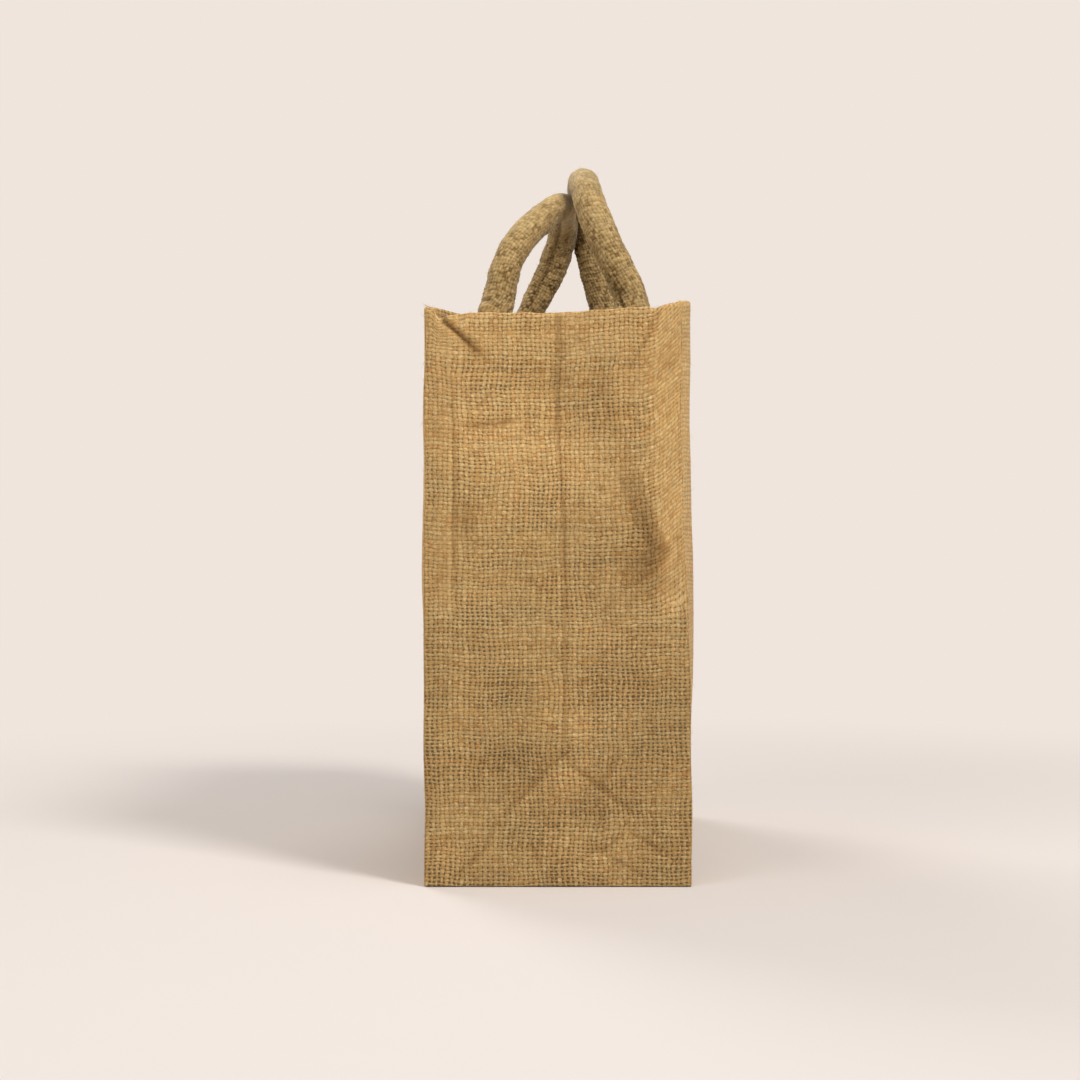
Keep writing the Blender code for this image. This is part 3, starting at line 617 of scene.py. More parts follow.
def weave(n, seed=0.0, width_warp=0.345, width_weft=0.36):
    """Plain weave in the UV map's thread units: height, which thread is on top, its own colour numbers."""
    uv = n.split(n.node("ShaderNodeUVMap", uv_map="cloth").outputs[0])
    warp, weft = uv[0], uv[1]
    slow = n.split_colour(n.noise(n.xyz(n.add(n.mul(warp, 0.10), seed), n.mul(weft, 0.075)), detail=1)[1])
    quick = n.split_colour(n.noise(n.xyz(n.add(n.mul(warp, 0.62), seed), n.mul(weft, 0.55)), detail=1)[1])
    region = n.noise(n.xyz(n.add(n.mul(warp, 0.085), seed + 4.0), n.mul(weft, 0.075)), detail=2)[0]
    u = n.add(warp, n.mul(n.sub(slow[0], 0.5), 1.5), n.mul(n.sub(quick[0], 0.5), 0.50))
    v = n.add(weft, n.mul(n.sub(slow[1], 0.5), 1.5), n.mul(n.sub(quick[1], 0.5), 0.50))
    iu, iv = n.m("FLOOR", u), n.m("FLOOR", v)
    fu, fv = n.sub(n.sub(u, iu), 0.5), n.sub(n.sub(v, iv), 0.5)
    own_u, tint_u = n.random(n.add(iu, 17.7 + seed))
    own_v, tint_v = n.random(n.add(iv, 71.3 + seed))
    run_u = n.split_colour(n.noise(n.xyz(n.add(n.mul(iu, 5.37), 3.3), n.mul(v, 0.16)), detail=2)[1])
    run_v = n.split_colour(n.noise(n.xyz(n.mul(u, 0.16), n.add(n.mul(iv, 5.37), 31.0)), detail=2)[1])
    closed = n.value("closed")
    closing = n.add(n.mul(n.sub(region, 0.5), 0.12), n.mul(closed, 0.085))
    closing_v = n.add(n.mul(n.sub(region, 0.5), 0.12), n.mul(n.m("MINIMUM", closed, 0.45), 0.085))
    hu = n.m("MAXIMUM", n.add(width_warp, n.mul(n.sub(own_u, 0.5), 0.07), n.mul(n.sub(run_u[0], 0.5), 0.32), closing), 0.22)
    hv = n.m("MAXIMUM", n.add(width_weft, n.mul(n.sub(own_v, 0.5), 0.10), n.mul(n.sub(run_v[0], 0.5), 0.34), closing_v), 0.22)

    def round_of(f, half):
        q = n.m("DIVIDE", f, half)
        inside = n.sub(1.0, n.mul(q, q))
        return n.m("SQRT", n.m("MAXIMUM", inside, 0.0)), n.fit(inside, -0.10, 0.06)

    pu, in_u = round_of(fu, hu)
    pv, in_v = round_of(fv, hv)
    parity = n.sub(n.mul(n.m("FRACT", n.mul(n.add(iu, iv), 0.5)), 4.0), 1.0)
    lift_u = n.mul(parity, n.m("COSINE", n.mul(fv, math.pi)), 0.42)
    lift_v = n.mul(parity, n.m("COSINE", n.mul(fu, math.pi)), -0.42)
    sunk = n.m("MULTIPLY", n.m("MAXIMUM", n.sub(closed, 0.8), 0.0), 0.22)
    top_u = n.sub(n.add(n.mul(pu, 0.58), lift_u), n.add(n.mul(n.sub(1.0, in_u), 2.2), sunk))
    top_v = n.sub(n.add(n.mul(pv, 0.58), lift_v), n.mul(n.sub(1.0, in_v), 2.2))
    fibre_u = n.noise(n.xyz(n.add(n.mul(u, 3.6), n.mul(v, 1.7)), n.mul(v, 1.1)), detail=3)[0]
    fibre_v = n.noise(n.xyz(n.mul(u, 1.1), n.add(n.mul(v, 3.6), n.mul(u, -1.7), 9.0)), detail=3)[0]
    ply = n.noise(n.xyz(n.add(n.mul(u, 1.3), n.mul(v, 0.9)), n.sub(n.mul(v, 3.4), n.mul(u, 2.4))), detail=2)[0]
    cell = n.random(n.add(n.mul(iu, 7.13), n.mul(iv, 3.71), seed))[0]
    is_u = n.m("GREATER_THAN", top_u, top_v)
    height = n.m("MAXIMUM", n.m("MAXIMUM", top_u, top_v), -0.75)

    def pick(a, b):
        return n.add(n.mul(a, is_u), n.mul(b, n.sub(1.0, is_u)))

    fibre = pick(fibre_u, fibre_v)
    own = pick(own_u, own_v)
    run = pick(run_u[1], run_v[1])
    hue = pick(n.add(n.mul(n.split_colour(tint_u)[1], 0.2), n.mul(run_u[2], 0.6), 0.10), n.add(n.mul(n.split_colour(tint_v)[1], 0.4), n.mul(run_v[2], 0.6)))
    height = n.add(height, n.mul(n.sub(fibre, 0.5), 0.34))
    shut = n.fit(closed, 0.7, 1.6)
    return dict(height=height, fibre=fibre, own=own, run=run, hue=hue, region=region, is_u=is_u, warp=warp, weft=weft, ply=ply,
                cell=cell, shut=shut)


STRAW, GOLD, BROWN, GREY = (0.640, 0.430, 0.195), (0.590, 0.350, 0.132), (0.500, 0.255, 0.078), (0.450, 0.320, 0.155)


def thread_colour(n, w, lightness=1.0):
    base = n.mix(n.fit(w["hue"], 0.30, 0.62), STRAW, GOLD)
    base = n.mix(n.fit(w["hue"], 0.62, 0.80, 0.0, 0.8), base, BROWN)
    base = n.mix(n.fit(w["run"], 0.60, 0.78, 0.0, 0.5), base, GREY)
    base = n.mix(n.fit(w["cell"], 0.90, 0.93, 0.0, 0.60), base, BROWN)
    plain = n.sub(1.0, n.mul(w["shut"], 0.7))
    bright = n.add(0.64, n.mul(w["own"], 0.12, plain), n.mul(w["fibre"], 0.56), n.mul(n.sub(w["run"], 0.5), -0.30, plain),
                   n.mul(n.sub(w["ply"], 0.5), n.add(0.22, n.mul(w["shut"], 0.55))), n.mul(w["shut"], 0.07))
    return n.mix(1.0, base, n.xyz(*[n.mul(bright, lightness)] * 3), "MULTIPLY")


def jute_cloth():
    n = Nodes("look_jute_cloth")
    w = weave(n)
    shade = n.fit(w["height"], -0.50, 1.04, 0.55, 1.12, "SMOOTHSTEP")
    shade = n.add(shade, n.mul(n.sub(0.96, shade), n.mul(w["shut"], 0.45)))
    colour = thread_colour(n, w)
    # painted sheen: paler on the high, fibrous tops of the threads
    painted_sheen = n.mul(n.fit(w["height"], 0.45, 1.05), n.fit(w["fibre"], 0.50, 0.66))
    colour = n.mix(n.mul(painted_sheen, 0.60), colour, (0.82, 0.67, 0.43))
    # dark brown in the gaps between the threads: partly the film behind them, partly painted shade
    colour = n.mix(n.fit(w["height"], -0.60, 0.10, 1.0, 0.0), colour, (0.315, 0.207, 0.095))
    colour = n.mix(1.0, colour, n.xyz(shade, shade, shade), "MULTIPLY")
    # slow changes of colour over the cloth, painted shade in the folds, and a painted highlight on the ridges and the
    # rim's top
    patch = n.noise(n.xyz(n.mul(w["warp"], 0.045), n.mul(w["weft"], 0.035), 0.0), detail=3)[0]
    colour = n.mix(n.fit(patch, 0.35, 0.70, 0.0, 0.35), colour, n.mix(1.0, colour, (0.86, 0.90, 0.88), "MULTIPLY"))
    # tone carries painted light and shade besides the cloth's own uneven colour
    tone = n.add(1.0, n.value("tone"))
    folds = n.sub(1.0, n.mul(n.value("fold"), 0.46))
    painted_highlight = n.add(1.0, n.mul(n.value("ridge_highlight"), 0.06))
    k = n.mul(tone, folds, painted_highlight)
    colour = n.mix(1.0, colour, n.xyz(k, k, k), "MULTIPLY")
    # the painted shade in the folds is browner
    colour = n.mix(n.m("MULTIPLY", n.value("fold"), 0.80, clamp=True), colour, n.mix(1.0, colour, (1.0, 0.83, 0.62), "MULTIPLY"))
    # where the tone is set darker, mostly painted shade, the cloth turns a little greener
    green = n.m("MULTIPLY", n.value("tone"), -2.2, clamp=True)
    colour = n.mix(green, colour, n.mix(1.0, colour, (0.95, 1.0, 0.98), "MULTIPLY"))
    colour = n.mix(1.0, colour, (0.895, 0.870, 0.780), "MULTIPLY")
    rough = n.add(0.80, n.mul(w["fibre"], 0.16))
    return n.shader(colour, rough, n.bump(w["height"], 0.00042, 0.85), Sheen_Weight=0.18, Sheen_Roughness=0.55,
                    Sheen_Tint=(0.95, 0.85, 0.68, 1.0), Specular_IOR_Level=0.22)


def laminated_back():
    """The inside of the cloth: the weave shows through the film bonded to it."""
    n = Nodes("look_laminated_back")
    w = weave(n, seed=3.0, width_warp=0.40, width_weft=0.41)
    shade = n.fit(w["height"], -0.55, 1.00, 0.62, 1.10, "SMOOTHSTEP")
    colour = thread_colour(n, w, 0.93)
    # painted shade in the gaps between the threads
    colour = n.mix(n.fit(w["height"], -0.60, 0.05, 0.8, 0.0), colour, (0.36, 0.27, 0.15))
    colour = n.mix(1.0, colour, n.xyz(shade, shade, shade), "MULTIPLY")
    cloudy = n.noise(n.xyz(n.mul(w["warp"], 0.20), n.mul(w["weft"], 0.17)), detail=3)[0]
    colour = n.mix(n.fit(cloudy, 0.40, 0.75, 0.05, 0.30), colour, (0.62, 0.53, 0.38))
    # painted shade in the folds
    k = n.sub(1.0, n.mul(n.value("fold"), 0.35))
    colour = n.mix(1.0, colour, n.xyz(k, k, k), "MULTIPLY")
    rough = n.add(0.34, n.mul(cloudy, 0.26))
    film = n.noise(n.xyz(n.mul(w["warp"], 0.9), n.mul(w["weft"], 0.9)), detail=2)[0]
    height = n.add(n.mul(w["height"], 0.55), n.mul(film, 0.35))
    return n.shader(colour, rough, n.bump(height, 0.00026, 0.8), Specular_IOR_Level=0.45, Coat_Weight=0.15, Coat_Roughness=0.3)


def sleeve_cloth():
    """The handles' woven sleeve: strands on the bias, with painted shade in what lies between them."""
    n = Nodes("look_jute_sleeve")
    uv = n.split(n.node("ShaderNodeUVMap", uv_map="cloth").outputs[0])
    round_at, along = uv[0], uv[1]
    a, b = n.add(along, n.mul(round_at, 0.35)), n.sub(round_at, n.mul(along, 0.35))
    relief, top = n.value("relief"), n.value("top")
    streak_a = n.noise(n.xyz(n.mul(a, 520.0), n.mul(b, 2300.0)), detail=2)[0]
    streak_b = n.noise(n.xyz(n.mul(a, 2300.0), n.mul(b, 520.0)), detail=2)[0]
    streak = n.add(n.mul(streak_a, top), n.mul(streak_b, n.sub(1.0, top)))
    run_a = n.noise(n.xyz(n.mul(a, 70.0), n.mul(b, 460.0)), detail=2)[0]
    run_b = n.noise(n.xyz(n.mul(a, 460.0), n.mul(b, 70.0)), detail=2)[0]
    run = n.add(n.mul(run_a, top), n.mul(run_b, n.sub(1.0, top)))
    patch = n.noise(n.xyz(n.mul(round_at, 60.0), n.mul(along, 38.0)), detail=3)[0]
    base = n.mix(n.fit(run, 0.36, 0.62), (0.560, 0.405, 0.205), (0.440, 0.295, 0.130))
    base = n.mix(n.fit(run, 0.63, 0.76, 0.0, 0.7), base, (0.340, 0.195, 0.075))
    base = n.mix(n.fit(patch, 0.64, 0.78, 0.0, 0.55), base, (0.54, 0.29, 0.09))
    base = n.mix(n.fit(patch, 0.42, 0.24, 0.0, 0.35), base, (0.47, 0.37, 0.195))
    # painted light and shade by the relief: the grains' tops lighter, what lies between them darker
    bright = n.mul(n.add(0.77, n.mul(streak, 0.42)), n.fit(relief, 0.02, 0.98, 0.52, 1.19, "SMOOTHSTEP"))
    # painted shade in the seam, in hollows, on the legs behind and where the handles touch
    fold = n.sub(1.0, n.mul(n.value("fold"), 0.55))
    k = n.mul(bright, fold, n.add(1.0, n.value("tone")))
    colour = n.mix(1.0, base, n.xyz(k, k, k), "MULTIPLY")
    # the painted shade between the grains and in the folds is browner
    colour = n.mix(n.fit(relief, 0.46, 0.06, 0.0, 0.9), colour, n.mix(1.0, colour, (0.94, 0.77, 0.54), "MULTIPLY"))
    colour = n.mix(n.m("MULTIPLY", n.value("fold"), 0.6, clamp=True), colour, n.mix(1.0, colour, (0.95, 0.82, 0.60), "MULTIPLY"))
    colour = n.mix(1.0, colour, (0.94, 0.900, 0.765), "MULTIPLY")
    # painted highlight: paler over the crown, where the light from above falls
    colour = n.mix(n.m("MULTIPLY", n.value("painted_highlight"), 1.0, clamp=True), colour, n.mix(1.0, colour, (1.03, 1.075, 1.16), "MULTIPLY"))
    height = n.add(n.mul(streak, 0.35), n.mul(run, 0.3))
    return n.shader(colour, n.add(0.80, n.mul(streak, 0.15)), n.bump(height, 0.00016, 0.8), Sheen_Weight=0.25,
                    Sheen_Roughness=0.5, Sheen_Tint=(0.9, 0.82, 0.66, 1.0), Specular_IOR_Level=0.22)


def sewing_thread():
    """Two plies laid round each other, waxed by the needle."""
    n = Nodes("look_sewing_thread")
    uv = n.split(n.node("ShaderNodeUVMap", uv_map="cloth").outputs[0])
    twist = n.m("SINE", n.mul(n.add(uv[0], n.mul(uv[1], 900.0)), 4 * math.pi))
    fuzz = n.noise(n.xyz(n.mul(uv[0], 6.0), n.mul(uv[1], 2500.0)), detail=2)[0]
    slow = n.noise(n.xyz(0.0, n.mul(uv[1], 120.0)), detail=2)[0]
    base = n.mix(slow, (0.62, 0.45, 0.22), (0.50, 0.34, 0.15))
    # painted shade: the plies darker in the grooves between them, lighter on their crowns
    k = n.add(0.72, n.mul(twist, 0.16), n.mul(fuzz, 0.3))
    colour = n.mix(1.0, base, n.xyz(k, k, k), "MULTIPLY")
    height = n.add(n.mul(twist, 0.5), n.mul(fuzz, 0.3))
    return n.shader(colour, n.add(0.55, n.mul(fuzz, 0.2)), n.bump(height, 0.00012, 0.8), Sheen_Weight=0.2, Specular_IOR_Level=0.35)


def loose_fibre():
    n = Nodes("look_loose_fibre")
    uv = n.split(n.node("ShaderNodeUVMap", uv_map="cloth").outputs[0])
    own = n.random(n.m("FLOOR", n.mul(uv[0], 4.0)))[0]
    tip = n.noise(n.xyz(n.mul(uv[0], 3.0), n.mul(uv[1], 1500.0)), detail=1)[0]
    base = n.mix(own, (0.72, 0.55, 0.31), (0.50, 0.33, 0.14))
    k = n.add(0.75, n.mul(tip, 0.45))
    return n.shader(n.mix(1.0, base, n.xyz(k, k, k), "MULTIPLY"), n.add(0.5, n.mul(tip, 0.3)), Specular_IOR_Level=0.4)


CLOTH_LOOK, BACK_LOOK, SLEEVE_LOOK, THREAD_LOOK, FIBRE_LOOK = jute_cloth(), laminated_back(), sleeve_cloth(), sewing_thread(), loose_fibre()


# ================================================================ walls
def profile_rows(kind):
    """Rows of a wall from its lower edge over the rim: cloth height, rise above it, outer and inner offset."""
    rows = []
    for a in (0, 30, 60, 90):
        s, c = math.sin(math.radians(a)), math.cos(math.radians(a))
        rows.append((CLOTH / 2 * (1 - c), 0.0, CLOTH / 2 * s, -CLOTH / 2 * s))
    top = H - FOLD_R
    for h in HEIGHTS[2:-1]:
        if h > top - 0.0004:
            break
        if h < 0.0095:
            inner = -CLOTH / 2
        elif h < H - HEM - 0.0004:
            inner = -CLOTH / 2 - GAP - FILM
        else:
            inner = -(2 * FOLD_R + CLOTH / 2)
        rows.append((h, 0.0, CLOTH / 2, inner))
    r = FOLD_R + CLOTH / 2
    for a in (0, 22.5, 45, 67.5, 90):
        s, c = math.sin(math.radians(a)), math.cos(math.radians(a))
        rows.append((top, r * s, -FOLD_R + r * c, -FOLD_R - r * c))
    return np.array(rows)


def picks(length):
    """Weft threads up to a cloth height: they lie a little closer toward the base."""
    fine = np.linspace(0, 0.36, 721)
    pitch = 0.00194 + 0.00020 * smooth((fine - 0.09) / 0.12)
    return np.interp(length, fine, np.concatenate([[0], np.cumsum((1 / pitch[1:] + 1 / pitch[:-1]) / 2 * np.diff(fine))]))


def wall(name, kind, spacing):
    panel = PANELS[kind]
    rows = profile_rows(kind)
    n = len(rows)
    reach = panel.half - 0.0022
    middle = np.linspace(-reach, reach, int(round(2 * reach / spacing)) + 1)
    ease = np.array([0.0, 0.00012, 0.00030, 0.00060, 0.0012])
    place = np.concatenate([-panel.half + ease, middle, (panel.half - ease)[::-1]])
    m = len(place)
    edge = panel.half - np.abs(place)
    turn = 1 - np.sqrt(np.clip(1 - (1 - np.clip(edge / 0.0006, 0, 1)) ** 2, 0, 1))
    u = place / panel.half
    h = rows[:, 0][:, None] + 0 * u[None, :]
    uu = u[None, :] + 0 * h
    base = panel.at(uu, h)
    out = -panel.inward(uu, h)
    relief, fold = relief_of(kind, uu * panel.half, h)
    # the rim's cloth edge is never quite straight
    lip = smooth((h - (H - 0.012)) / 0.011)
    base[..., 2] += rows[:, 1][:, None] + lip * 0.00011 * waves(uu * panel.half, h * 0, 60 + len(kind), 0.012)
    relief = relief + lip * 0.00016 * waves(uu * panel.half, h * 0, 66 + len(kind), 0.024)
    d_out = rows[:, 2][:, None] - turn[None, :] * 0.00035 * (rows[:, 2] > 0.0003)[:, None]
    d_in = rows[:, 3][:, None] + 0 * turn[None, :]
    # both layers end on the mitre of the corner, with a hair's gap between the two panels
    shift_out, shift_in = np.zeros(base.shape), np.zeros(base.shape)
    for sign in (-1, 1):
        levels = np.minimum(rows[:, 0], H - 0.001)
        here = panel.at(sign, levels)
        into = panel.at(sign * (1 - 0.003 / panel.half), levels) - here
        into[:, 2] = 0
        into = normed(into)
        _, way = panel.end_point(sign, levels)
        cosine = np.clip((into * way).sum(-1), 0.05, 0.999)
        sine = np.sqrt(1 - cosine**2)
        close = np.exp(-((panel.half - sign * place) / 0.0011) ** 1.5) * (np.sign(place) == sign)
        close[-1 if sign > 0 else 0] = 1.0
        for shift, d in ((shift_out, d_out), (shift_in, d_in)):
            move = (0.00014 - d[:, -1 if sign > 0 else 0] * cosine) / sine
            shift += into[:, None, :] * (move[:, None] * close[None, :])[..., None]
    outer = settle(base + out * (d_out + relief)[..., None] + shift_out)
    inner = settle(base + out * (d_in + relief)[..., None] + shift_in)
    # vertices: all outer rows, then the inner rows that aren't shared with them at the two ends of the profile
    outer_id = np.arange(n * m).reshape(n, m)
    inner_id = np.empty((n, m), int)
    inner_id[0], inner_id[-1] = outer_id[0], outer_id[-1]
    inner_id[1:-1] = n * m + np.arange((n - 2) * m).reshape(n - 2, m)
    verts = np.concatenate([outer.reshape(-1, 3), inner[1:-1].reshape(-1, 3)])

    def quads(ids):
        return np.stack([ids[:-1, :-1], ids[:-1, 1:], ids[1:, 1:], ids[1:, :-1]], -1).reshape(-1, 4)

    outside, inside = quads(outer_id), quads(inner_id)[:, ::-1]
    caps, small = [], []
    for c, flip in ((0, False), (m - 1, True)):
        for r in range(n - 1):
            ring = [outer_id[r, c], outer_id[r + 1, c], inner_id[r + 1, c], inner_id[r, c]]
            ring = [v for i, v in enumerate(ring) if v != ring[i - 1]]
            ring = ring[::-1] if flip else ring
            (caps if len(ring) == 4 else small).append(ring)
    caps, small = np.array(caps), np.array(small)
    # cloth coordinates: up the outside and over the rim, then down the inside
    climb = np.concatenate([[0], np.cumsum(np.hypot(np.diff(rows[:, 0] + rows[:, 1]), np.diff(rows[:, 2])))])
    hem_from = H - HEM - 0.0004
    v_out = picks(climb)
    v_in = picks(np.where(rows[:, 0] > hem_from, 2 * climb[-1] - climb, rows[:, 0]))
    uv_out = np.stack([np.broadcast_to(place[None, :] / WARP_PITCH, (n, m)), np.broadcast_to(v_out[:, None], (n, m))], -1)
    uv_in = np.stack([np.broadcast_to(place[None, :] / WARP_PITCH, (n, m)), np.broadcast_to(v_in[:, None], (n, m))], -1)
    if kind == "near":
        # in the strip at the right the cloth turns away, and its weft climbs outwards
        past = np.clip(uu * panel.half - 0.0430, 0, None)
        climbing = 0.62 * past**2 / (past + 0.0050) * smooth((h - 0.126) / 0.026) / WEFT_PITCH
        uv_out[..., 1] -= climbing
        uv_in[..., 1] -= climbing
    shift = {"near": 0.0, "far": 211.0, "left": 523.0, "right": 937.0}[kind]
    uv = np.concatenate([uv_out.reshape(-1, 2), uv_in[1:-1].reshape(-1, 2)]) + shift
    is_film = np.zeros(n - 1, bool)
    mids = (rows[:-1, 0] + rows[1:, 0]) / 2
    is_film[(mids > 0.0095) & (mids < hem_from + 0.0003)] = True
    film_faces = np.repeat(is_film, m - 1).astype(int)
    # what the material reads
    smoothed = relief.copy()
    for _ in range(5):
        smoothed[1:-1] = (smoothed[:-2] + smoothed[2:] + 2 * smoothed[1:-1]) / 4
        smoothed[:, 1:-1] = (smoothed[:, :-2] + smoothed[:, 2:] + 2 * smoothed[:, 1:-1]) / 4
    curve = (relief - smoothed) * 1000
    height = h
    # painted shade: the cloth is darker toward its foot, as the light falls from above; the slow waves are the cloth's
    # own uneven tone
    tone = -0.185 * (1 - smooth((height - 0.105) / 0.125)) + 0.02 * waves(uu * panel.half, height, 77, 0.05)
    closed = 0.30 * waves(uu * panel.half, height, 78, 0.045)
    if kind == "near":
        at_x = uu * panel.half
        above = smooth((height - 0.178) / 0.050)
        strip = smooth((at_x - 0.046 + 0.010 * above) / (0.007 + 0.013 * above)) * smooth((height - 0.127) / 0.012)
        left_strip = smooth((-0.0485 - at_x) / 0.004) * smooth((height - 0.122) / 0.016)
        # painted light: the right strip, which turns toward the light, is lighter, and the left strip a little lighter
        # too; both are also woven closer
        tone = tone + 0.150 * strip + 0.045 * left_strip
        closed = closed + 1.55 * strip + 0.75 * left_strip + 0.40 * smooth((height - 0.12) / 0.07)
        # painted light and shade: patches mostly lighter on the bulges and darker in the dents, a few of uneven tone
        for cx, cz, rx, rz, size in (
            (1.8, 49, 9, 9, 0.12), (4, 22, 12, 12, 0.05), (42, 69, 14, 20, -0.03), (-21, 60, 8, 11, -0.06), (-21, 22, 9, 10, -0.05),
            (-25, 210, 20, 26, 0.05), (-45, 178, 8, 12, -0.06), (6, 262, 7, 22, -0.05), (12, 120, 22, 30, 0.03),
        ):
            tone = tone + blob(at_x * 1000, height * 1000, cx, cz, rx, rz, size)
        # painted shade: the right half, turned away from the light, is darker, more so above 115 mm, but not its strip
        tone = tone - (0.010 + 0.035 * smooth((height - 0.115) / 0.040)) * smooth((at_x - 0.002) / 0.020) * (1 - strip)
        # painted shade in a band 130 to 190 mm high, where the cloth faces down under the bulge
        dip = smooth((0.190 - height) / 0.03) * smooth((height - 0.130) / 0.03)
        tone = tone - 0.05 * dip * (1 - strip) * (1 - left_strip)
        closed = closed - 0.15 * smooth((0.165 - height) / 0.03)
    if kind in ("left", "right"):
        # painted light: beside the near corner, where the panel is seen almost edge-on, it is painted lighter, and
        # woven closer
        beside = 1 - smooth((uu * panel.half + panel.half - 0.014) / 0.040 + 0.10 * waves(uu * panel.half, height, 79, 0.06))
        tone = tone + (0.26 if kind == "left" else 0.16) * beside
        closed = closed + 1.6 * beside
    # painted highlight on the relief's convex bumps and along the rim's top, and painted shade in its concave dips
    border = smooth((h - (H - 0.0022)) / 0.0016)
    ridge_highlight = np.clip(curve * 5, 0, 0.8) + 1.5 * border
    fold_value = np.clip(fold + np.clip(-curve * 3, 0, 0.3), 0, 1)
    values = {}
    for key, grid in (("tone", tone), ("closed", closed), ("ridge_highlight", ridge_highlight), ("fold", fold_value)):
        values[key] = np.concatenate([grid.reshape(-1), grid[1:-1].reshape(-1)])
    # seam allowances, turned inside at the two corners
    extra_v, extra_f, extra_uv, at = [], [], [], len(verts)
    for sign in (-1, 1):
        levels = np.linspace(0.0105, 0.2640, 90)
        foot, way = panel.end_point(sign, levels)
        side = normed(np.cross(way, np.array([0, 0, 1.0])))
        inside_way = panel.at(sign * 0.8, levels) - panel.at(sign, levels)
        side = side * np.sign((side * inside_way).sum(-1, keepdims=True))
        section = []
        for along_fin, off in ((0.0003, 0.0005), (0.0040, 0.0006), (0.0076, 0.0006), (0.0080, 0.0003), (0.0080, -0.0003), (0.0076, -0.0006), (0.0040, -0.0006), (0.0003, -0.0005)):
            sway = 0.00035 * np.sin(levels * 190 + sign) * along_fin / 0.008
            section.append(settle(foot + way * along_fin + side * (off + sway)[..., None]))
        ring = np.stack(section, 1)
        k = ring.shape[1]
        ids = at + np.arange(len(levels) * k).reshape(len(levels), k)
        nxt = np.roll(ids, -1, 1)
        body = np.stack([ids[:-1], nxt[:-1], nxt[1:], ids[1:]], -1).reshape(-1, 4)
        ends = [np.stack([ids[r, 0], ids[r, 1], ids[r, 6], ids[r, 7]]) for r in (0, -1)] + [np.stack([ids[r, 1], ids[r, 2], ids[r, 5], ids[r, 6]]) for r in (0, -1)] + [np.stack([ids[r, 2], ids[r, 3], ids[r, 4], ids[r, 5]]) for r in (0, -1)]
        ends = [e[::-1] if i % 2 == 0 else e for i, e in enumerate(ends)]
        fin_faces = np.concatenate([body, np.array(ends)])
        v = ring.reshape(-1, 3)
        total = sum(np.einsum("ij,ij->", v[fin_faces[:, 0] - at], np.cross(v[fin_faces[:, k1] - at], v[fin_faces[:, k1 + 1] - at])) for k1 in (1, 2))
        if total < 0:
            fin_faces = fin_faces[:, ::-1]
        extra_v.append(v)
        extra_f.append(fin_faces)
        across = np.array([0, 3.7, 7.3, 8.0, 8.6, 9.2, 12.9, 16.6]) / 1000 / WARP_PITCH
        extra_uv.append(np.stack([np.broadcast_to(across[None], (len(levels), k)) + shift + 90 * sign, np.broadcast_to(levels[:, None] / WEFT_PITCH, (len(levels), k))], -1).reshape(-1, 2))
        at += len(v)
    # the wall's own faces have to face out before the fins join it
    volume = 0.0
    for f in (outside, inside, caps):
        for k in (1, 2):
            volume += np.einsum("ij,ij->", verts[f[:, 0]], np.cross(verts[f[:, k]], verts[f[:, k + 1]]))
    if volume < 0:
        outside, inside, caps, small = outside[:, ::-1], inside[:, ::-1], caps[:, ::-1], small[:, ::-1]
    verts = np.concatenate([verts] + extra_v)
    uv = np.concatenate([uv] + extra_uv)
    count = sum(len(v) for v in extra_v)
    for key in values:
        values[key] = np.concatenate([values[key], np.zeros(count)])
    faces = [outside, inside, caps, small] + extra_f
    material = np.concatenate([np.zeros(len(outside)), film_faces, np.zeros(len(caps) + len(small) + sum(len(f) for f in extra_f))])
    obj = mesh_piece(name, verts, faces, [CLOTH_LOOK, BACK_LOOK], uv=uv, face_material=material, values=values)
    return obj, dict(points=outer, normals=out, place=uu * panel.half, height=h)


WALLS = {}
for name, kind, spacing, flat in (
    ("near_gusset_cloth", "near", 0.0010, (0.146, 0.3165)), ("far_gusset_cloth", "far", 0.00125, (0.146, 0.3165)),
    ("left_panel_cloth", "left", 0.0016, (0.266, 0.3165)), ("right_panel_cloth", "right", 0.0016, (0.266, 0.3165)),
):
    made, grid = wall(name, kind, spacing)
    node = {"near": "near_gusset", "far": "far_gusset", "left": "left_panel", "right": "right_panel"}[kind]
    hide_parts(node, node + "_film")
    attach(made, "bag")
    WALLS[kind] = grid

# ================================================================ base: a shallow tray of laminated cloth
tray_x, tray_y = HALF_X - CLOTH - GAP + CLOTH / 2, HALF_Y - CLOTH - GAP + CLOTH / 2


def tray_ring(inset, z, radius):
    """A rounded rectangle, evenly stepped."""
    hx, hy, points = tray_x - inset, tray_y - inset, []
    radius = max(radius - inset, 0.0006)
    for cx, cy, start in ((hx - radius, hy - radius, 0), (-hx + radius, hy - radius, 90), (-hx + radius, -hy + radius, 180), (hx - radius, -hy + radius, 270)):
        for i in range(7):
            a = math.radians(start + 15 * i)
            points.append((cx + radius * math.cos(a), cy + radius * math.sin(a)))
        (x0, y0) = points[-1]
        a = math.radians(start + 90)
        nx, ny = {0: (-hx + radius, hy), 90: (-hx, -hy + radius), 180: (hx - radius, -hy), 270: (hx, hy - radius)}[start]
        for i in range(1, 40):
            points.append((x0 + (nx - x0) * i / 40, y0 + (ny - y0) * i / 40))
    p = np.array(points)
    lift = 0.00022 * (waves(p[:, 0], p[:, 1], 91, 0.03) + 1.2) if z > 0.0015 else 0.0
    return np.concatenate([p, np.full((len(p), 1), z) + (lift[:, None] if np.ndim(lift) else 0.0)], 1)


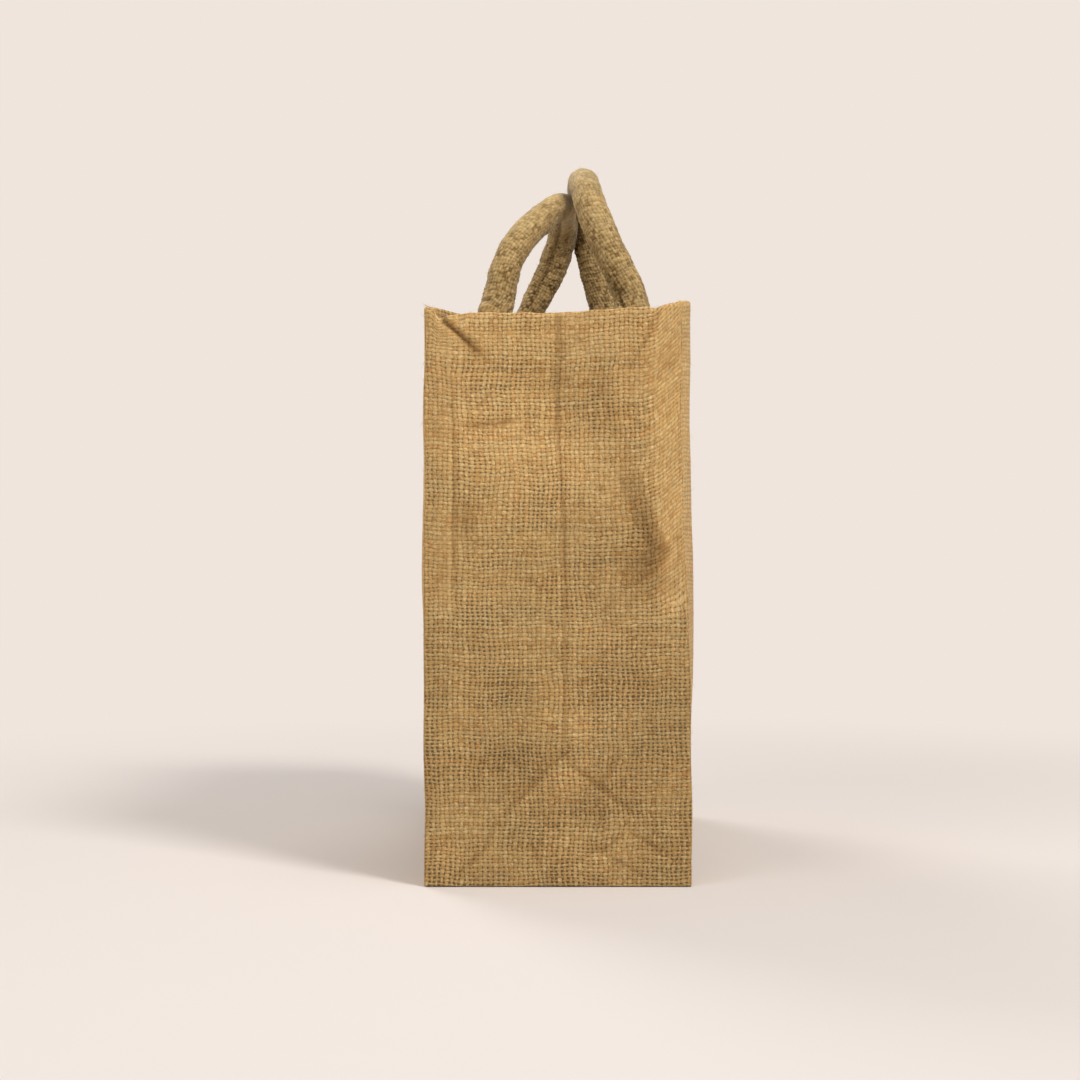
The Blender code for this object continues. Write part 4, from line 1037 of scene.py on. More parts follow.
def tray():
    rings, film = [], []
    for inset, z, is_film in (
        (0.012, 0.0, 0), (0.004, 0.0, 0), (0.0016, 0.00005, 0), (0.0008, 0.0003, 0), (0.0002, 0.0009, 0), (0.0, 0.0018, 0), (0.0, 0.0045, 0),
        (0.0, 0.0080, 0), (0.0002, 0.0084, 0), (0.0006, 0.0086, 0), (0.0010, 0.0084, 0), (0.0012, 0.0080, 0), (0.0012, 0.0045, 1),
        (0.0013, 0.0028, 1), (0.0016, 0.0021, 1), (0.0024, 0.0018, 1), (0.0060, 0.0018, 1), (0.014, 0.0018, 1), (0.028, 0.0018, 1), (0.045, 0.0018, 1),
    ):
        rings.append(tray_ring(inset, z, 0.004))
        film.append(is_film)
    n, m = len(rings), len(rings[0])
    ids = np.arange(n * m).reshape(n, m)
    nxt = np.roll(ids, -1, 1)
    body = np.stack([ids[:-1], nxt[:-1], nxt[1:], ids[1:]], -1).reshape(-1, 4)
    verts = np.concatenate(rings)
    caps = [ids[0][::-1].tolist(), ids[-1].tolist()]
    uv = np.stack([(verts[:, 0] + np.sign(verts[:, 0]) * verts[:, 2]) / WARP_PITCH, (verts[:, 1] + np.sign(verts[:, 1]) * verts[:, 2]) / WEFT_PITCH], -1) + 1501.0
    material = np.concatenate([np.repeat(np.array(film[1:]), m), [0, 1]])
    volume = sum(np.einsum("ij,ij->", verts[body[:, 0]] - verts[0], np.cross(verts[body[:, k]] - verts[0], verts[body[:, k + 1]] - verts[0])) for k in (1, 2))
    if volume < 0:
        body, caps = body[:, ::-1], [c[::-1] for c in caps]
    lists = body.tolist() + caps
    mesh = bpy.data.meshes.new("base_cloth")
    mesh.from_pydata(verts.tolist(), [], lists)
    mesh.materials.append(CLOTH_LOOK)
    mesh.materials.append(BACK_LOOK)
    layer = mesh.uv_layers.new(name="cloth")
    index = np.empty(len(mesh.loops), np.int32)
    mesh.loops.foreach_get("vertex_index", index)
    layer.data.foreach_set("uv", uv.astype(np.float32)[index].ravel())
    mesh.polygons.foreach_set("material_index", material.astype(np.int32))
    # the base is set darker all over, like the painted shade at the foot of the walls
    for key in ("tone", "closed", "ridge_highlight", "fold"):
        mesh.attributes.new(key, "FLOAT", "POINT").data.foreach_set("value", np.full(len(verts), {"tone": -0.12, "ridge_highlight": 0.0}.get(key, 0.0), np.float32))
    mesh.update()
    mesh.shade_smooth()
    mesh.set_sharp_from_angle(angle=math.radians(60))
    obj = bpy.data.objects.new("base_cloth", mesh)
    bpy.context.scene.collection.objects.link(obj)
    return obj


base = tray()
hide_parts("base_panel", "base_film")
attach(base, "bag")

# ================================================================ handles
LEFT_ROUTE = [(-0.0298, -0.0530, 0.2953), (-0.0281, -0.0528, 0.3050), (-0.0232, -0.0502, 0.3190),
              (-0.0120, -0.0425, 0.3345), (-0.0014, -0.0280, 0.3453), (0.0036, -0.0090, 0.3506),
              (0.0048, 0.0110, 0.3514), (0.0046, 0.0285, 0.3470), (0.0012, 0.0425, 0.3350),
              (-0.0050, 0.0502, 0.3190), (-0.0112, 0.0526, 0.3065), (-0.0160, 0.0530, 0.2953)]
RIGHT_ROUTE = [(0.0387, -0.0530, 0.2958), (0.0350, -0.0528, 0.3045), (0.0281, -0.0512, 0.3190),
               (0.0214, -0.0464, 0.3350), (0.0171, -0.0365, 0.3500), (0.0152, -0.0195, 0.3608),
               (0.0144, -0.0010, 0.3646), (0.0144, 0.0160, 0.3640), (0.0153, 0.0310, 0.3580),
               (0.0176, 0.0430, 0.3440), (0.0220, 0.0506, 0.3250), (0.0262, 0.0527, 0.3090),
               (0.0298, 0.0530, 0.2958)]
ROUTES = {"left": (LEFT_ROUTE, (0.0078, 0.0069, 0.0069)), "right": (RIGHT_ROUTE, (0.0084, 0.0077, 0.0077))}
END_LENGTH, END_WIDTH, END_THICK = 0.046, 0.024, 0.005


def smooth_route(keys, step):
    p = np.array(keys)
    t = np.concatenate([[0], np.cumsum(np.linalg.norm(np.diff(p, axis=0), axis=1) ** 0.5)])
    n = len(p)
    h = np.diff(t)
    system, right = np.eye(n), np.zeros((n, 3))
    for i in range(1, n - 1):
        system[i, i - 1], system[i, i], system[i, i + 1] = h[i - 1], 2 * (h[i - 1] + h[i]), h[i]
        right[i] = 6 * ((p[i + 1] - p[i]) / h[i] - (p[i] - p[i - 1]) / h[i - 1])
    bend = np.linalg.solve(system, right)
    q = np.linspace(0, t[-1], 4000)
    k = np.clip(np.searchsorted(t, q, side="right") - 1, 0, n - 2)
    hh, a, b = h[k][:, None], (t[k + 1] - q)[:, None], (q - t[k])[:, None]
    c = (bend[k] * a**3 + bend[k + 1] * b**3) / (6 * hh) + (p[k] / hh - bend[k] * hh / 6) * a + (p[k + 1] / hh - bend[k + 1] * hh / 6) * b
    s = np.concatenate([[0], np.cumsum(np.linalg.norm(np.diff(c, axis=0), axis=1))])
    places = np.linspace(0, s[-1], int(round(s[-1] / step)) + 1)
    return np.stack([np.interp(places, s, c[:, i]) for i in range(3)], 1)


def panel_u(kind, y, h):
    low, high = -1.0, 1.0
    for _ in range(40):
        mid = (low + high) / 2
        if PANELS[kind].at(mid, h)[1] < y:
            low = mid
        else:
            high = mid
    return (low + high) / 2


def tab_rings(side, y, radius, hinge_height, theta, flip, step):
    """Rings of a handle's end from its lower end up: pressed flat, then round where it leaves the bag."""
    panel = PANELS[side]
    place = panel_u(side, y, H - 0.010)
    low, top = H - END_LENGTH, H - 0.0008
    count = int(round((top - low) / step))
    rings = []
    for r in range(-5, count + 1):
        f = max(r, 0) / count
        height = low + (top - low) * f
        rounding = float(smooth((f - 0.45) / 0.50))
        shrink = 1.0
        if r < 0:
            q = -r / 5
            height -= 0.0016 * math.sin(q * math.pi / 2)
            shrink = max(math.cos(q * math.pi / 2), 0.12)
        half_wide = END_WIDTH / 2 * (1 - rounding) + radius * rounding
        half_thick = (END_THICK / 2 * (1 - rounding) + (radius - GAP) * rounding) * shrink
        half_wide -= (1 - shrink) * 0.0022
        power = 2 / (4 - 2 * rounding)
        back = 0.0035 - 0.0010 * (1 - rounding) - 0.0008 * float(smooth((H - 0.018 - height) / 0.008))
        c, s = np.cos(theta), np.sin(theta)
        along = half_wide * np.sign(c) * np.abs(c) ** power * flip
        out = half_thick * np.sign(s) * np.abs(s) ** power
        u = place + along / panel.half
        normal = panel.inward(place, height)
        thick = END_THICK / 2 * (1 - rounding) + (radius - GAP) * rounding
        p = panel.at(u, height) + panel.inward(u, height) * back + normal * (thick + out)[:, None]
        if r == count:
            p[:, 2] = hinge_height - radius - GAP
        rings.append(p)
    return rings, place


COLUMNS, ROW = 28, 0.00198


def grains(a, b):
    """Height of a close plain weave whose warp runs along the rope, which thread is on top, and their numbers."""
    ia, ib = np.floor(a), np.floor(b)
    fa, fb = a - ia - 0.5, b - ib - 0.5
    over = (np.mod(ia + ib, 2) * 2 - 1)
    pa = np.cos(math.pi * fa) ** 0.8
    pb = np.cos(math.pi * fb) ** 0.8
    ha = 0.58 * pa + 0.42 * over * np.cos(math.pi * fb)
    hb = 0.46 * pb - 0.32 * over * np.cos(math.pi * fa)
    return np.maximum(ha, hb), (ha > hb).astype(float), ia, ib


def rope(side, around=132, step=0.00043):
    route, radii = ROUTES[side]
    line = smooth_route(route, step)
    tangent = normed(np.gradient(line, axis=0))
    crown = line[np.argmax(line[:, 2])]
    flat = normed(np.cross(line[-1] - line[0], crown - line[0]))
    if flat[0] * (1 if side == "left" else -1) < 0:
        flat = -flat
    across = normed(flat - (tangent @ flat)[:, None] * tangent)
    inner = np.cross(across, tangent)
    if inner[len(inner) // 2][2] > 0:
        inner = -inner
    theta = 2 * math.pi * np.arange(around) / around
    y = line[:, 1]
    radius = radii[0] + (radii[1] - radii[0]) * smooth((y + 0.053) / 0.053) + (radii[2] - radii[1]) * smooth(y / 0.053)
    far_tab, u_far = tab_rings(side, line[-1][1], radii[2], line[-1][2], theta, -1, step)
    near_tab, u_near = tab_rings(side, line[0][1], radii[0], line[0][2], theta, 1, step)
    arch = line[:, None, :] + radius[:, None, None] * (np.cos(theta)[None, :, None] * inner[:, None, :] + np.sin(theta)[None, :, None] * across[:, None, :])

    def join(ring_a, ring_b, more):
        """Rings between a handle's end and its rope."""
        made = []
        for i in range(1, more):
            f = i / more
            made.append(ring_a + (ring_b - ring_a) * f)
        return made

    near_gap = int(round(np.linalg.norm(near_tab[-1].mean(0) - line[0]) / step))
    far_gap = int(round(np.linalg.norm(far_tab[-1].mean(0) - line[-1]) / step))
    rings = near_tab + join(near_tab[-1], arch[0], near_gap) + list(arch) + join(arch[-1], far_tab[-1], far_gap) + far_tab[::-1]
    p = np.stack(rings)
    # ease the places where the two ways of making a ring meet
    first = len(near_tab) - 22
    last = len(p) - len(far_tab) + 22
    for _ in range(60):
        for lo, hi in ((first, len(near_tab) + near_gap + 22), (last - far_gap - 44, last)):
            p[lo + 1:hi - 1] = (p[lo:hi - 2] + 2 * p[lo + 1:hi - 1] + p[lo + 2:hi]) / 4
    centre = p.mean(1)
    s = np.concatenate([[0], np.cumsum(np.linalg.norm(np.diff(centre, axis=0), axis=1))])
    ds = np.gradient(p, axis=0)
    dt = np.roll(p, -1, 1) - np.roll(p, 1, 1)
    normal = normed(np.cross(dt, ds))
    if ((p - centre[:, None]) * normal).sum() < 0:
        normal = -normal
    ss, tt = np.meshgrid(s, theta, indexing="ij")
    mean_radius = (radii[0] + radii[1]) / 2
    # round the flat ends the strands keep their width, so they are counted along the girth
    chord = np.linalg.norm(np.roll(p, -1, 1) - p, axis=-1)
    girth = np.concatenate([np.zeros((len(p), 1)), np.cumsum(chord, 1)], 1)
    tt = 2 * math.pi * girth[:, :-1] / girth[:, -1:]
    seed = 101 if side == "left" else 131
    circle = np.stack([np.cos(tt), np.sin(tt)], -1) * mean_radius
    wander = 0.22 * waves(ss, circle[..., 0] * 1.7, seed, 0.019) + 0.10 * waves(ss, circle[..., 1] * 2.1, seed + 1, 0.0075)
    wander_b = 0.24 * waves(ss, circle[..., 1] * 1.7, seed + 2, 0.019) + 0.10 * waves(ss, circle[..., 0] * 2.1, seed + 3, 0.0075)
    wander = wander + 0.05 * waves(ss, circle[..., 0] + 1.3 * circle[..., 1], seed + 9, 0.0045)
    wander_b = wander_b + 0.07 * waves(ss, circle[..., 1] - 1.2 * circle[..., 0], seed + 10, 0.0045)
    # the cloth lies a little on the bias, and its rows bow down at the rope's two sides
    a = COLUMNS * tt / (2 * math.pi) + ss / 0.013 + wander
    b = ss / ROW + 0.9 * (1 - np.cos(tt - math.pi)) + wander_b
    height, top, ia, ib = grains(a, b)
    rng = np.random.default_rng(seed)
    own = rng.uniform(-1, 1, COLUMNS)[np.mod(ia, COLUMNS).astype(int)] * 0.45 + rng.uniform(-1, 1, 401)[np.mod(ib, 401).astype(int)] * 0.10
    amp = 0.00054 * (1 + 0.22 * waves(ss, circle[..., 0], seed + 4, 0.03)) * np.clip(1 + 0.30 * own, 0.4, 1.5)
    # worn smoother over the crown, where hands hold it
    crown_at = np.argmax(centre[:, 2])
    spread = np.where(ss < s[crown_at], 0.058, 0.034)
    smooth_part = np.exp(-(((ss - s[crown_at]) / spread) ** 2))
    amp = amp * (1 - 0.80 * smooth_part)
    cell = rng.uniform(-1, 1, 4096)[np.mod(ia * 61 + ib * 7, 4096).astype(int)]
    height = height + 0.15 * cell - 0.30 * (cell < -0.80) + 0.10 * waves(ss, circle[..., 0] + 0.7 * circle[..., 1], seed + 8, 0.0030)
    height = height * (1 - 0.80 * smooth_part) + 0.64 * 0.80 * smooth_part
    end_part = np.minimum(ss - s[0], s[-1] - ss)
    amp = amp * smooth(end_part / 0.002)
    lumps = 0.00013 * waves(ss, circle[..., 0], seed + 5, 0.018) + 0.00009 * waves(ss, circle[..., 1], seed + 6, 0.009)
    # thicker where the rope starts to be pressed flat
    over_rim = smooth((p[..., 2] - 0.2826) / 0.0040) * np.exp(-((np.clip(p[..., 2] - 0.2870, 0, None) / 0.0095) ** 2))
    away = np.clip(normal[..., 0] * (-1 if side == "left" else 1), 0, 1)
    flare = over_rim * (0.0006 + np.where(p[..., 1] < 0, 0.0013, 0.0008) * away)
    if side == "left":
        # its far leg is thicker, and the seam's lip stands out beside the seam
        behind = smooth((p[..., 1] - 0.020) / 0.018) * smooth((p[..., 2] - 0.288) / 0.010)
        flare = flare + behind * (0.0005 + 0.0016 * np.clip(normal[..., 0], 0, 1) ** 1.5 * smooth((p[..., 2] - 0.300) / 0.025))
    # the sleeve's own lengthwise seam, on the inner side of the arch
    off_seam = np.abs(np.mod(tt + math.pi + 0.10 * np.sin(ss * 60), 2 * math.pi) - math.pi) * mean_radius
    seam = np.exp(-((off_seam / 0.0015) ** 2)) * smooth((end_part - 0.030) / 0.02) * (0.75 if side == "left" else 0.2)
    seam_banks = np.exp(-(((off_seam - 0.0030) / 0.0016) ** 2)) * smooth((end_part - 0.030) / 0.02) * (1.0 if side == "left" else 0.2)
    if side == "right":
        # at the foot of its near leg the sleeve is folded into the seam
        gap_s, gap_k = along_line(p[..., 0] * 1000, p[..., 2] * 1000, [(34.8, 287, 1.0), (34.1, 290.5, 1.0), (32.2, 296, 0.9), (30.8, 300, 0.5), (29.6, 303, 0.0)])
        notch = gap_k * np.exp(-((gap_s / 0.8) ** 2)) * smooth((-0.055 - p[..., 1]) / 0.003)
        seam = np.clip(seam + notch, 0, 1.1)
    move = amp * (height - 0.35) + lumps + flare - 0.0011 * seam + 0.00035 * seam_banks
    p = p + normal * move[..., None]
    n, m = p.shape[:2]
    verts = np.concatenate([p.reshape(-1, 3), p[0].mean(0)[None], p[-1].mean(0)[None]])
    ids = np.arange(n * m).reshape(n, m)
    nxt = np.roll(ids, -1, 1)
    body = np.stack([ids[:-1], nxt[:-1], nxt[1:], ids[1:]], -1).reshape(-1, 4)
    fans = np.concatenate([
        np.stack([np.full(m, n * m), nxt[0], ids[0]], -1), np.stack([np.full(m, n * m + 1), ids[-1], nxt[-1]], -1),
    ])
    turn = (2 * math.pi * mean_radius / m)
    k = np.arange(m)
    u0, u1 = np.broadcast_to(k * turn, (n - 1, m)), np.broadcast_to((k + 1) * turn, (n - 1, m))
    s0, s1 = np.broadcast_to(s[:-1, None], (n - 1, m)), np.broadcast_to(s[1:, None], (n - 1, m))
    quad_uv = np.stack([np.stack([u0, s0], -1), np.stack([u1, s0], -1), np.stack([u1, s1], -1), np.stack([u0, s1], -1)], 2).reshape(-1, 4, 2)
    fan_uv = np.zeros((len(fans), 3, 2))
    loop_uv = quad_uv.tolist() + fan_uv.tolist()
    # painted shade in the seam's groove and notch, and in the hollows between the lumps
    fold = np.clip(seam * 0.9 + 0.25 * np.clip(-lumps / 0.0004, 0, 1), 0, 1)
    # painted shade where the two handles touch, and on the parts that hang behind
    other = smooth_route(ROUTES["right" if side == "left" else "left"][0], 0.004)
    gap = np.linalg.norm(p[:, :, None, :] - other[None, None, ::3, :], axis=-1).min(-1)
    contact_shade = np.exp(-((np.clip(gap - 0.0078, 0, None) / 0.0068) ** 1.5))
    behind = smooth((p[..., 1] + 0.02) / 0.05)
    tone = 0.04 * own + 0.09 * cell + 0.025 * waves(ss, circle[..., 1], seed + 7, 0.03) - 0.11 * behind
    tone = tone + (0.02 if side == "left" else -0.09) - 0.84 * contact_shade * (1.0 if side == "left" else 0.20)
    # painted light on the right handle's side that faces left
    if side == "right":
        tone = tone + 0.16 * np.clip(-normal[..., 0], 0, 1) * (1 - behind)
    fold = np.clip(fold + 0.30 * behind * (1 - np.clip(height * 1.2, 0, 1)) + 0.35 * contact_shade * (side == "left"), 0, 1)
    # painted highlight over the crown, where the light from above falls, in tone and in the paler colour of the sleeve
    tone = tone + (0.11 if side == "right" else 0.04) * smooth_part * (1 - behind)
    foot = 1 - smooth((p[..., 2] - 0.290) / 0.022)
    tone = tone - 0.10 * foot
    painted_highlight = smooth_part * (1 - behind)
    values = {key: np.concatenate([g.reshape(-1), [0, 0]]) for key, g in (("relief", height), ("top", top), ("fold", fold), ("tone", tone), ("painted_highlight", painted_highlight))}
    obj = mesh_piece(side + "_handle", verts, [body, fans], [SLEEVE_LOOK], loop_uv=loop_uv, values=values)
    return obj, dict(points=p, normals=normal, s=s, centre=centre), (u_near, u_far)


ROPES, TAB_U = {}, {}
for side in ("left", "right"):
    made, grid, places = rope(side)
    ROPES[side], TAB_U[side] = grid, places
    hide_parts(f"{side}_handle_sleeve", f"{side}_handle_core", f"{side}_handle_near_end", f"{side}_handle_far_end")
    middle = (np.array(ROUTES[side][0][0]) + np.array(ROUTES[side][0][-1])) / 2
    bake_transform(made)


# ================================================================ stitches
def stitched(points, out, length, proud, sunk):
    """A thread's line: up on the cloth for a stitch, then down through it."""
    s = np.concatenate([[0], np.cumsum(np.linalg.norm(np.diff(points, axis=0), axis=1))])
    count = max(2, int(round(s[-1] / length)))
    fine = np.linspace(0, s[-1], count * 10 + 1)
    p = np.stack([np.interp(fine, s, points[:, i]) for i in range(3)], 1)
    o = normed(np.stack([np.interp(fine, s, out[:, i]) for i in range(3)], 1))
    phase = (fine / s[-1] * count) % 1.0
    lift = proud - (proud + sunk) * np.clip(1 - np.abs(np.sin(math.pi * phase)) * 2.0, 0, 1) ** 1.2
    return p + o * lift[:, None]


def closed_line(p):
    return p[:-1] if np.linalg.norm(p[0] - p[-1]) < 1e-4 else p


def box_stitch(side, which):
    panel = PANELS[side]
    place = TAB_U[side][0 if which == "near" else 1]
    low = H - END_LENGTH + 0.004
    high = low + 0.014
    corners = [(-0.008, low), (0.008, low), (0.008, high), (-0.008, high), (-0.008, low)]
    outline = []
    for (a0, h0), (a1, h1) in zip(corners, corners[1:]):
        for f in np.linspace(0, 1, 24)[:-1]:
            outline.append((a0 + (a1 - a0) * f, h0 + (h1 - h0) * f))
    outline.append(corners[0])
    cross = [[(-0.008 + 0.016 * f, low + 0.014 * f) for f in np.linspace(0, 1, 40)], [(0.008 - 0.016 * f, low + 0.014 * f) for f in np.linspace(0, 1, 40)]]
    parts = []
    for path, is_loop in ((outline, True), (cross[0], False), (cross[1], False)):
        a = np.array([q[0] for q in path])
        h = np.array([q[1] for q in path])
        u = place + a / panel.half
        inward = panel.inward(u, h)
        normal = np.broadcast_to(panel.inward(place, float(np.mean(h))), inward.shape)
        inside = panel.at(u, h) + inward * 0.0017 + normal * (END_THICK + 0.00025)
        d, _ = relief_of(side, u * panel.half, h)
        outside = panel.at(u, h) - inward * (CLOTH / 2 + d)[:, None]
        for points, way, proud in ((inside, normal, 0.00030), (outside, -inward, 0.00022)):
            line = stitched(points, way, 0.0035, proud, 0.0009)
            line = closed_line(line) if is_loop else line
            parts.append(tube(line, 0.00042 if proud > 0.00025 else 0.00038, 7, closed=is_loop))
    v, f, c = merge(facing_out(parts))
    obj = mesh_piece(f"{side}_handle_{which}_box_stitch", v, [f], [THREAD_LOOK], loop_uv=c)
    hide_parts(f"{side}_handle_{which}_stitch")
    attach(obj, "bag")


for side in ("left", "right"):
    for which in ("near", "far"):
        box_stitch(side, which)


def hem_stitch():
    points, ways = [], []
    for kind, direction in (("near", 1), ("right", 1), ("far", -1), ("left", -1)):
        panel = PANELS[kind]
        margin = 0.0085 / panel.half
        u = np.linspace(-(1 - margin), 1 - margin, 160)[::direction]
        h = np.full_like(u, H - 0.0165)
        inward = panel.inward(u, h)
        d, _ = relief_of(kind, u * panel.half, h)
        points.append(panel.at(u, h) + inward * (2 * FOLD_R + CLOTH / 2 - d)[:, None])
        ways.append(inward)
    p, w = np.concatenate(points + [points[0][:1]]), np.concatenate(ways + [ways[0][:1]])
    line = closed_line(stitched(p, w, 0.0042, 0.00030, 0.0005))
    v, f, c = merge(facing_out([tube(line, 0.00042, 7, closed=True)]))
    obj = mesh_piece("hem_stitching", v, [f], [THREAD_LOOK], loop_uv=c)
    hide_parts("hem_thread")
    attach(obj, "bag")


hem_stitch()

for label, kind, sign in (
    ("near_left", "near", -1), ("near_right", "near", 1), ("far_left", "far", -1), ("far_right", "far", 1),
):
    panel = PANELS[kind]
    levels = np.linspace(0.0125, 0.2620, 200)
    foot, way = panel.end_point(sign, levels)
    side_way = normed(np.cross(way, np.array([0, 0, 1.0])))
    side_way = side_way * np.sign((side_way * (panel.at(sign * 0.8, levels) - panel.at(sign, levels))).sum(-1, keepdims=True))
    line = settle(stitched(foot + way * 0.0050 + side_way * 0.0006, side_way, 0.0040, 0.00032, 0.0003))
    v, f, c = merge(facing_out([tube(line, 0.0004, 7)]))
    obj = mesh_piece("corner_stitching_" + label, v, [f], [THREAD_LOOK], loop_uv=c)
    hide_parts("corner_thread_" + label)
    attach(obj, "bag")


def base_stitch():
    x, y = tray_x - CLOTH, tray_y - CLOTH
    corners = [(-x, -y), (x, -y), (x, y), (-x, y), (-x, -y)]
    points, ways = [], []
    for (x0, y0), (x1, y1) in zip(corners, corners[1:]):
        way = np.array([-(y1 - y0), x1 - x0, 0.0])
        way /= np.linalg.norm(way)
        for f in np.linspace(0.025, 0.975, 90):
            points.append((x0 + (x1 - x0) * f, y0 + (y1 - y0) * f, 0.0052 + 0.0002 * math.sin(f * 21)))
            ways.append(way)
    points.append(points[0])
    ways.append(ways[0])
    line = closed_line(stitched(np.array(points), np.array(ways), 0.0042, 0.00030, 0.0003))
    v, f, c = merge(facing_out([tube(line, 0.0004, 7, closed=True)]))
    obj = mesh_piece("base_seam_stitching", v, [f], [THREAD_LOOK], loop_uv=c)
    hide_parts("base_seam_thread")
    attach(obj, "bag")


base_stitch()


# ================================================================ loose fibres
def fibres(name, roots, normals, lengths, seed, thickness=0.00006, lie=0.75, body=None, blend=None):
    """Thin tapering hairs that leave the cloth and curl over."""
    rng = np.random.default_rng(seed)
    parts = []
    for i in range(len(roots)):
        nrm = normals[i]
        side = rng.normal(size=3)
        side -= nrm * float(np.dot(side, nrm))
        side /= max(np.linalg.norm(side), 1e-9)
        bend = rng.normal(size=3)
        bend /= max(np.linalg.norm(bend), 1e-9)
        length = lengths[i]
        start = normed(nrm * (1 - lie * rng.uniform(0.4, 1.0)) + side * lie)
        t = np.linspace(0, 1, 6)[:, None]
        line = roots[i] - nrm * 0.0002 + start * length * t + bend * length * 0.35 * t**2 * rng.uniform(0.3, 1.0) - nrm * length * 0.25 * t**2 * rng.uniform(0, 1)
        radius = thickness * rng.uniform(0.6, 1.2) * np.linspace(1.0, 0.35, 6)
        v, f, c = tube(line, radius, 3)
        c = [[(x + i * 0.37, y) for x, y in corner_uv] for corner_uv in c]
        parts.append((v, f, c))
    v, f, c = merge(facing_out(parts))
    obj = mesh_piece(name, v, [f], [FIBRE_LOOK], loop_uv=c)
    if blend:
        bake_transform(obj)
    else:
        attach(obj, body)
    return obj


def sample_grid(points, normals, count, rng, weight=None):
    n, m = points.shape[:2]
    if weight is None:
        rows, cols = rng.integers(2, n - 2, count), rng.integers(0, m, count)
    else:
        chance = (weight / weight.sum()).ravel()
        flat = rng.choice(n * m, count, p=chance)
        rows, cols = flat // m, flat % m
    return points[rows, cols], normals[rows, cols]


rng = np.random.default_rng(7)
for side in ("left", "right"):
    grid = ROPES[side]
    inside_arch = np.where(grid["centre"][:, 2] > 0.286)[0]
    p, nrm = sample_grid(grid["points"][inside_arch], grid["normals"][inside_arch], 420, rng)
    middle = (np.array(ROUTES[side][0][0]) + np.array(ROUTES[side][0][-1])) / 2
    fibres(f"{side}_handle_fibres", p, nrm, rng.uniform(0.0012, 0.0038, len(p)), 201 if side == "left" else 202, thickness=0.00006,
           blend=("bag", f"handle_{side}", (middle[0], middle[1], 0.2868), (middle[0], middle[1], 0.3040)))

roots, normals, lengths = [], [], []
for kind, count in (("near", 260), ("far", 200), ("left", 320), ("right", 320)):
    grid = WALLS[kind]
    p, nrm = sample_grid(grid["points"][8:-3, 6:-6], grid["normals"][8:-3, 6:-6], count, rng)
    roots.append(p)
    normals.append(nrm)
    lengths.append(rng.uniform(0.0015, 0.0050, count))
    # along the rim the fibres stand up
    rim = grid["points"][-1, 4:-4]
    pick = rng.integers(0, len(rim), count // 4)
    roots.append(rim[pick])
    normals.append(normed(grid["normals"][-1, 4:-4][pick] * rng.uniform(-0.4, 0.4, (len(pick), 1)) + np.array([0, 0, 1.0])))
    lengths.append(rng.uniform(0.0010, 0.0032, len(pick)))
    for column in (2, -3):
        edge = grid["points"][10:-10, column]
        pick = rng.integers(0, len(edge), count // 8)
        roots.append(edge[pick])
        normals.append(grid["normals"][10:-10, column][pick])
        lengths.append(rng.uniform(0.0010, 0.0030, len(pick)))
# two small frayed tufts on the rim beside the tuck
for place, count, size in ((-0.0556, 9, 0.0042), (-0.0628, 7, 0.0036)):
    grid = WALLS["near"]
    column = int(np.argmin(np.abs(grid["place"][-1] - place)))
    root = grid["points"][-1, column]
    spread = rng.normal(0, 0.0006, (count, 3))
    roots.append(root + spread * np.array([1, 0.6, 0.1]))
    normals.append(normed(np.array([0.25, -0.25, 1.0]) + rng.normal(0, 0.35, (count, 3))))
    lengths.append(rng.uniform(0.6, 1.1, count) * size)
fibres("bag_fibres", np.concatenate(roots), np.concatenate(normals), np.concatenate(lengths), 301, thickness=0.00007, body="bag")


# ================================================================ studio
BACK_COLOUR = linear(239, 229, 221)


def lathe(name, profile, steps=96):
    verts, faces = [], []
    for r, z in profile:
        for k in range(steps):
            a = 2 * math.pi * k / steps
            verts.append((r * math.cos(a), r * math.sin(a), z))
    for i in range(len(profile) - 1):
        for k in range(steps):
            m = (k + 1) % steps
            faces.append([i * steps + k, i * steps + m, (i + 1) * steps + m, (i + 1) * steps + k])
    mesh = bpy.data.meshes.new(name)
    mesh.from_pydata(verts, [], faces)
    mesh.update()
    mesh.shade_smooth()
    obj = bpy.data.objects.new(name, mesh)
    bpy.context.scene.collection.objects.link(obj)
    return obj


FLOOR_ALBEDO = (0.745, 0.686, 0.652)


def studio_look(name):
    n = Nodes(name)
    place = n.split(n.node("ShaderNodeNewGeometry").outputs[0])
    r = n.m("SQRT", n.add(n.mul(place[0], place[0]), n.mul(place[1], place[1])))
    fade = n.fit(n.m("MAXIMUM", r, place[2]), 0.32, 0.80, 0.0, 1.0, "SMOOTHSTEP")
    diffuse = n.node("ShaderNodeBsdfDiffuse")
    diffuse.inputs["Color"].default_value = (*FLOOR_ALBEDO, 1.0)
    glow = n.node("ShaderNodeEmission")
    glow.inputs["Color"].default_value = (*BACK_COLOUR, 1.0)
    glow.inputs["Strength"].default_value = 1.0
    mixed = n.node("ShaderNodeMixShader")
    n.put(mixed.inputs[0], fade)
    n.tree.links.new(diffuse.outputs[0], mixed.inputs[1])
    n.tree.links.new(glow.outputs[0], mixed.inputs[2])
    out = n.node("ShaderNodeOutputMaterial")
    n.tree.links.new(mixed.outputs[0], out.inputs[0])
    return n.material


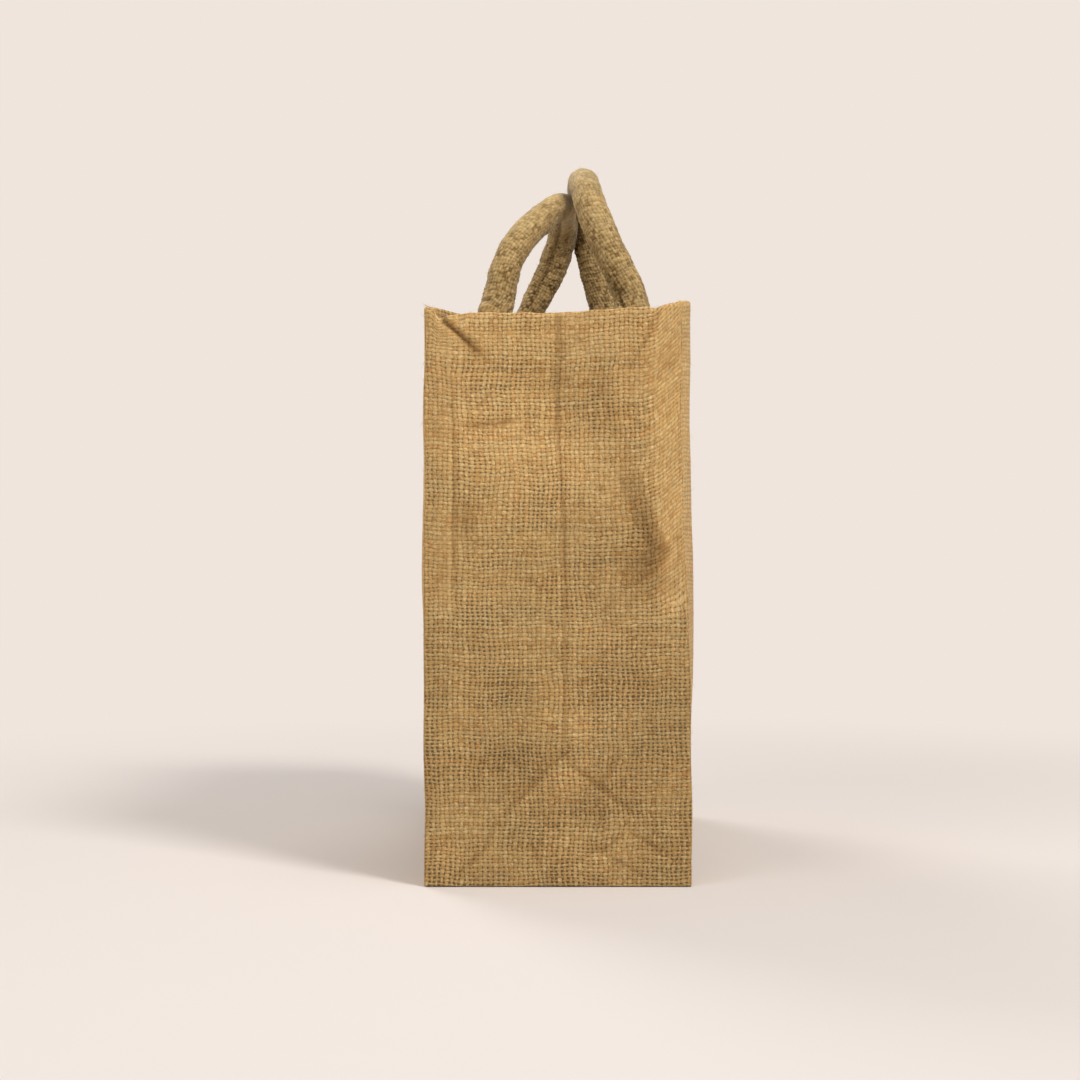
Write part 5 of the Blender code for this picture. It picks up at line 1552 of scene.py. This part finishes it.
STUDIO = studio_look("studio_sweep")
floor = lathe("studio_floor", [(0.0005, -0.0004), (0.05, -0.0004), (0.2, -0.0004), (0.5, -0.0004), (1.05, -0.0004)])
rise = [(1.05, -0.0004)] + [(1.05 + 0.65 * math.sin(math.radians(a)), 0.65 * (1 - math.cos(math.radians(a))) - 0.0004) for a in range(10, 91, 10)] + [(1.70, 1.6), (1.70, 3.2)]
sweep = lathe("studio_wall", rise)
for o in (floor, sweep):
    o.data.materials.append(STUDIO)
sweep.visible_diffuse = sweep.visible_glossy = sweep.visible_shadow = False

world = bpy.data.worlds.new("studio_world")
world.use_nodes = True
world.node_tree.nodes["Background"].inputs[0].default_value = (1.0, 0.975, 0.95, 1.0)
world.node_tree.nodes["Background"].inputs[1].default_value = 0.26
bpy.context.scene.world = world


def lamp(name, place, target, size, power, colour=(1, 1, 1)):
    data = bpy.data.lights.new(name, "AREA")
    data.shape = "DISK"
    data.size = size
    data.energy = power
    data.color = colour
    obj = bpy.data.objects.new(name, data)
    bpy.context.scene.collection.objects.link(obj)
    obj.location = place
    way = np.array(target, float) - np.array(place, float)
    from mathutils import Vector
    obj.rotation_mode = "QUATERNION"
    obj.rotation_quaternion = Vector(way).to_track_quat("-Z", "Y")
    obj.visible_camera = False
    return obj


lamp("key", (1.60, -1.70, 2.20), (0, 0, 0.16), 0.8, 56.0, (1.0, 0.985, 0.96))
lamp("fill", (-1.60, -1.60, 0.90), (0, 0, 0.14), 1.6, 15.0, (1.0, 0.99, 0.98))
lamp("back", (-1.3, 1.9, 1.8), (0, 0, 0.16), 1.3, 30.0, (1.0, 0.985, 0.96))
lamp("top", (0.20, -0.40, 2.30), (0, 0, 0.0), 1.0, 14.0, (1.0, 0.985, 0.965))

camera_data = bpy.data.cameras.new("camera")
camera_data.sensor_width = 36.0
camera_data.lens = 61.85
camera_data.clip_start, camera_data.clip_end = 0.05, 20.0
camera = bpy.data.objects.new("camera", camera_data)
bpy.context.scene.collection.objects.link(camera)
camera.location = (-0.0087, -1.025, 0.168)
camera.rotation_euler = (math.pi / 2, 0.0, 0.0)
bpy.context.scene.camera = camera
bpy.context.scene.view_settings.view_transform = "Standard"
bpy.context.scene.view_settings.look = "None"
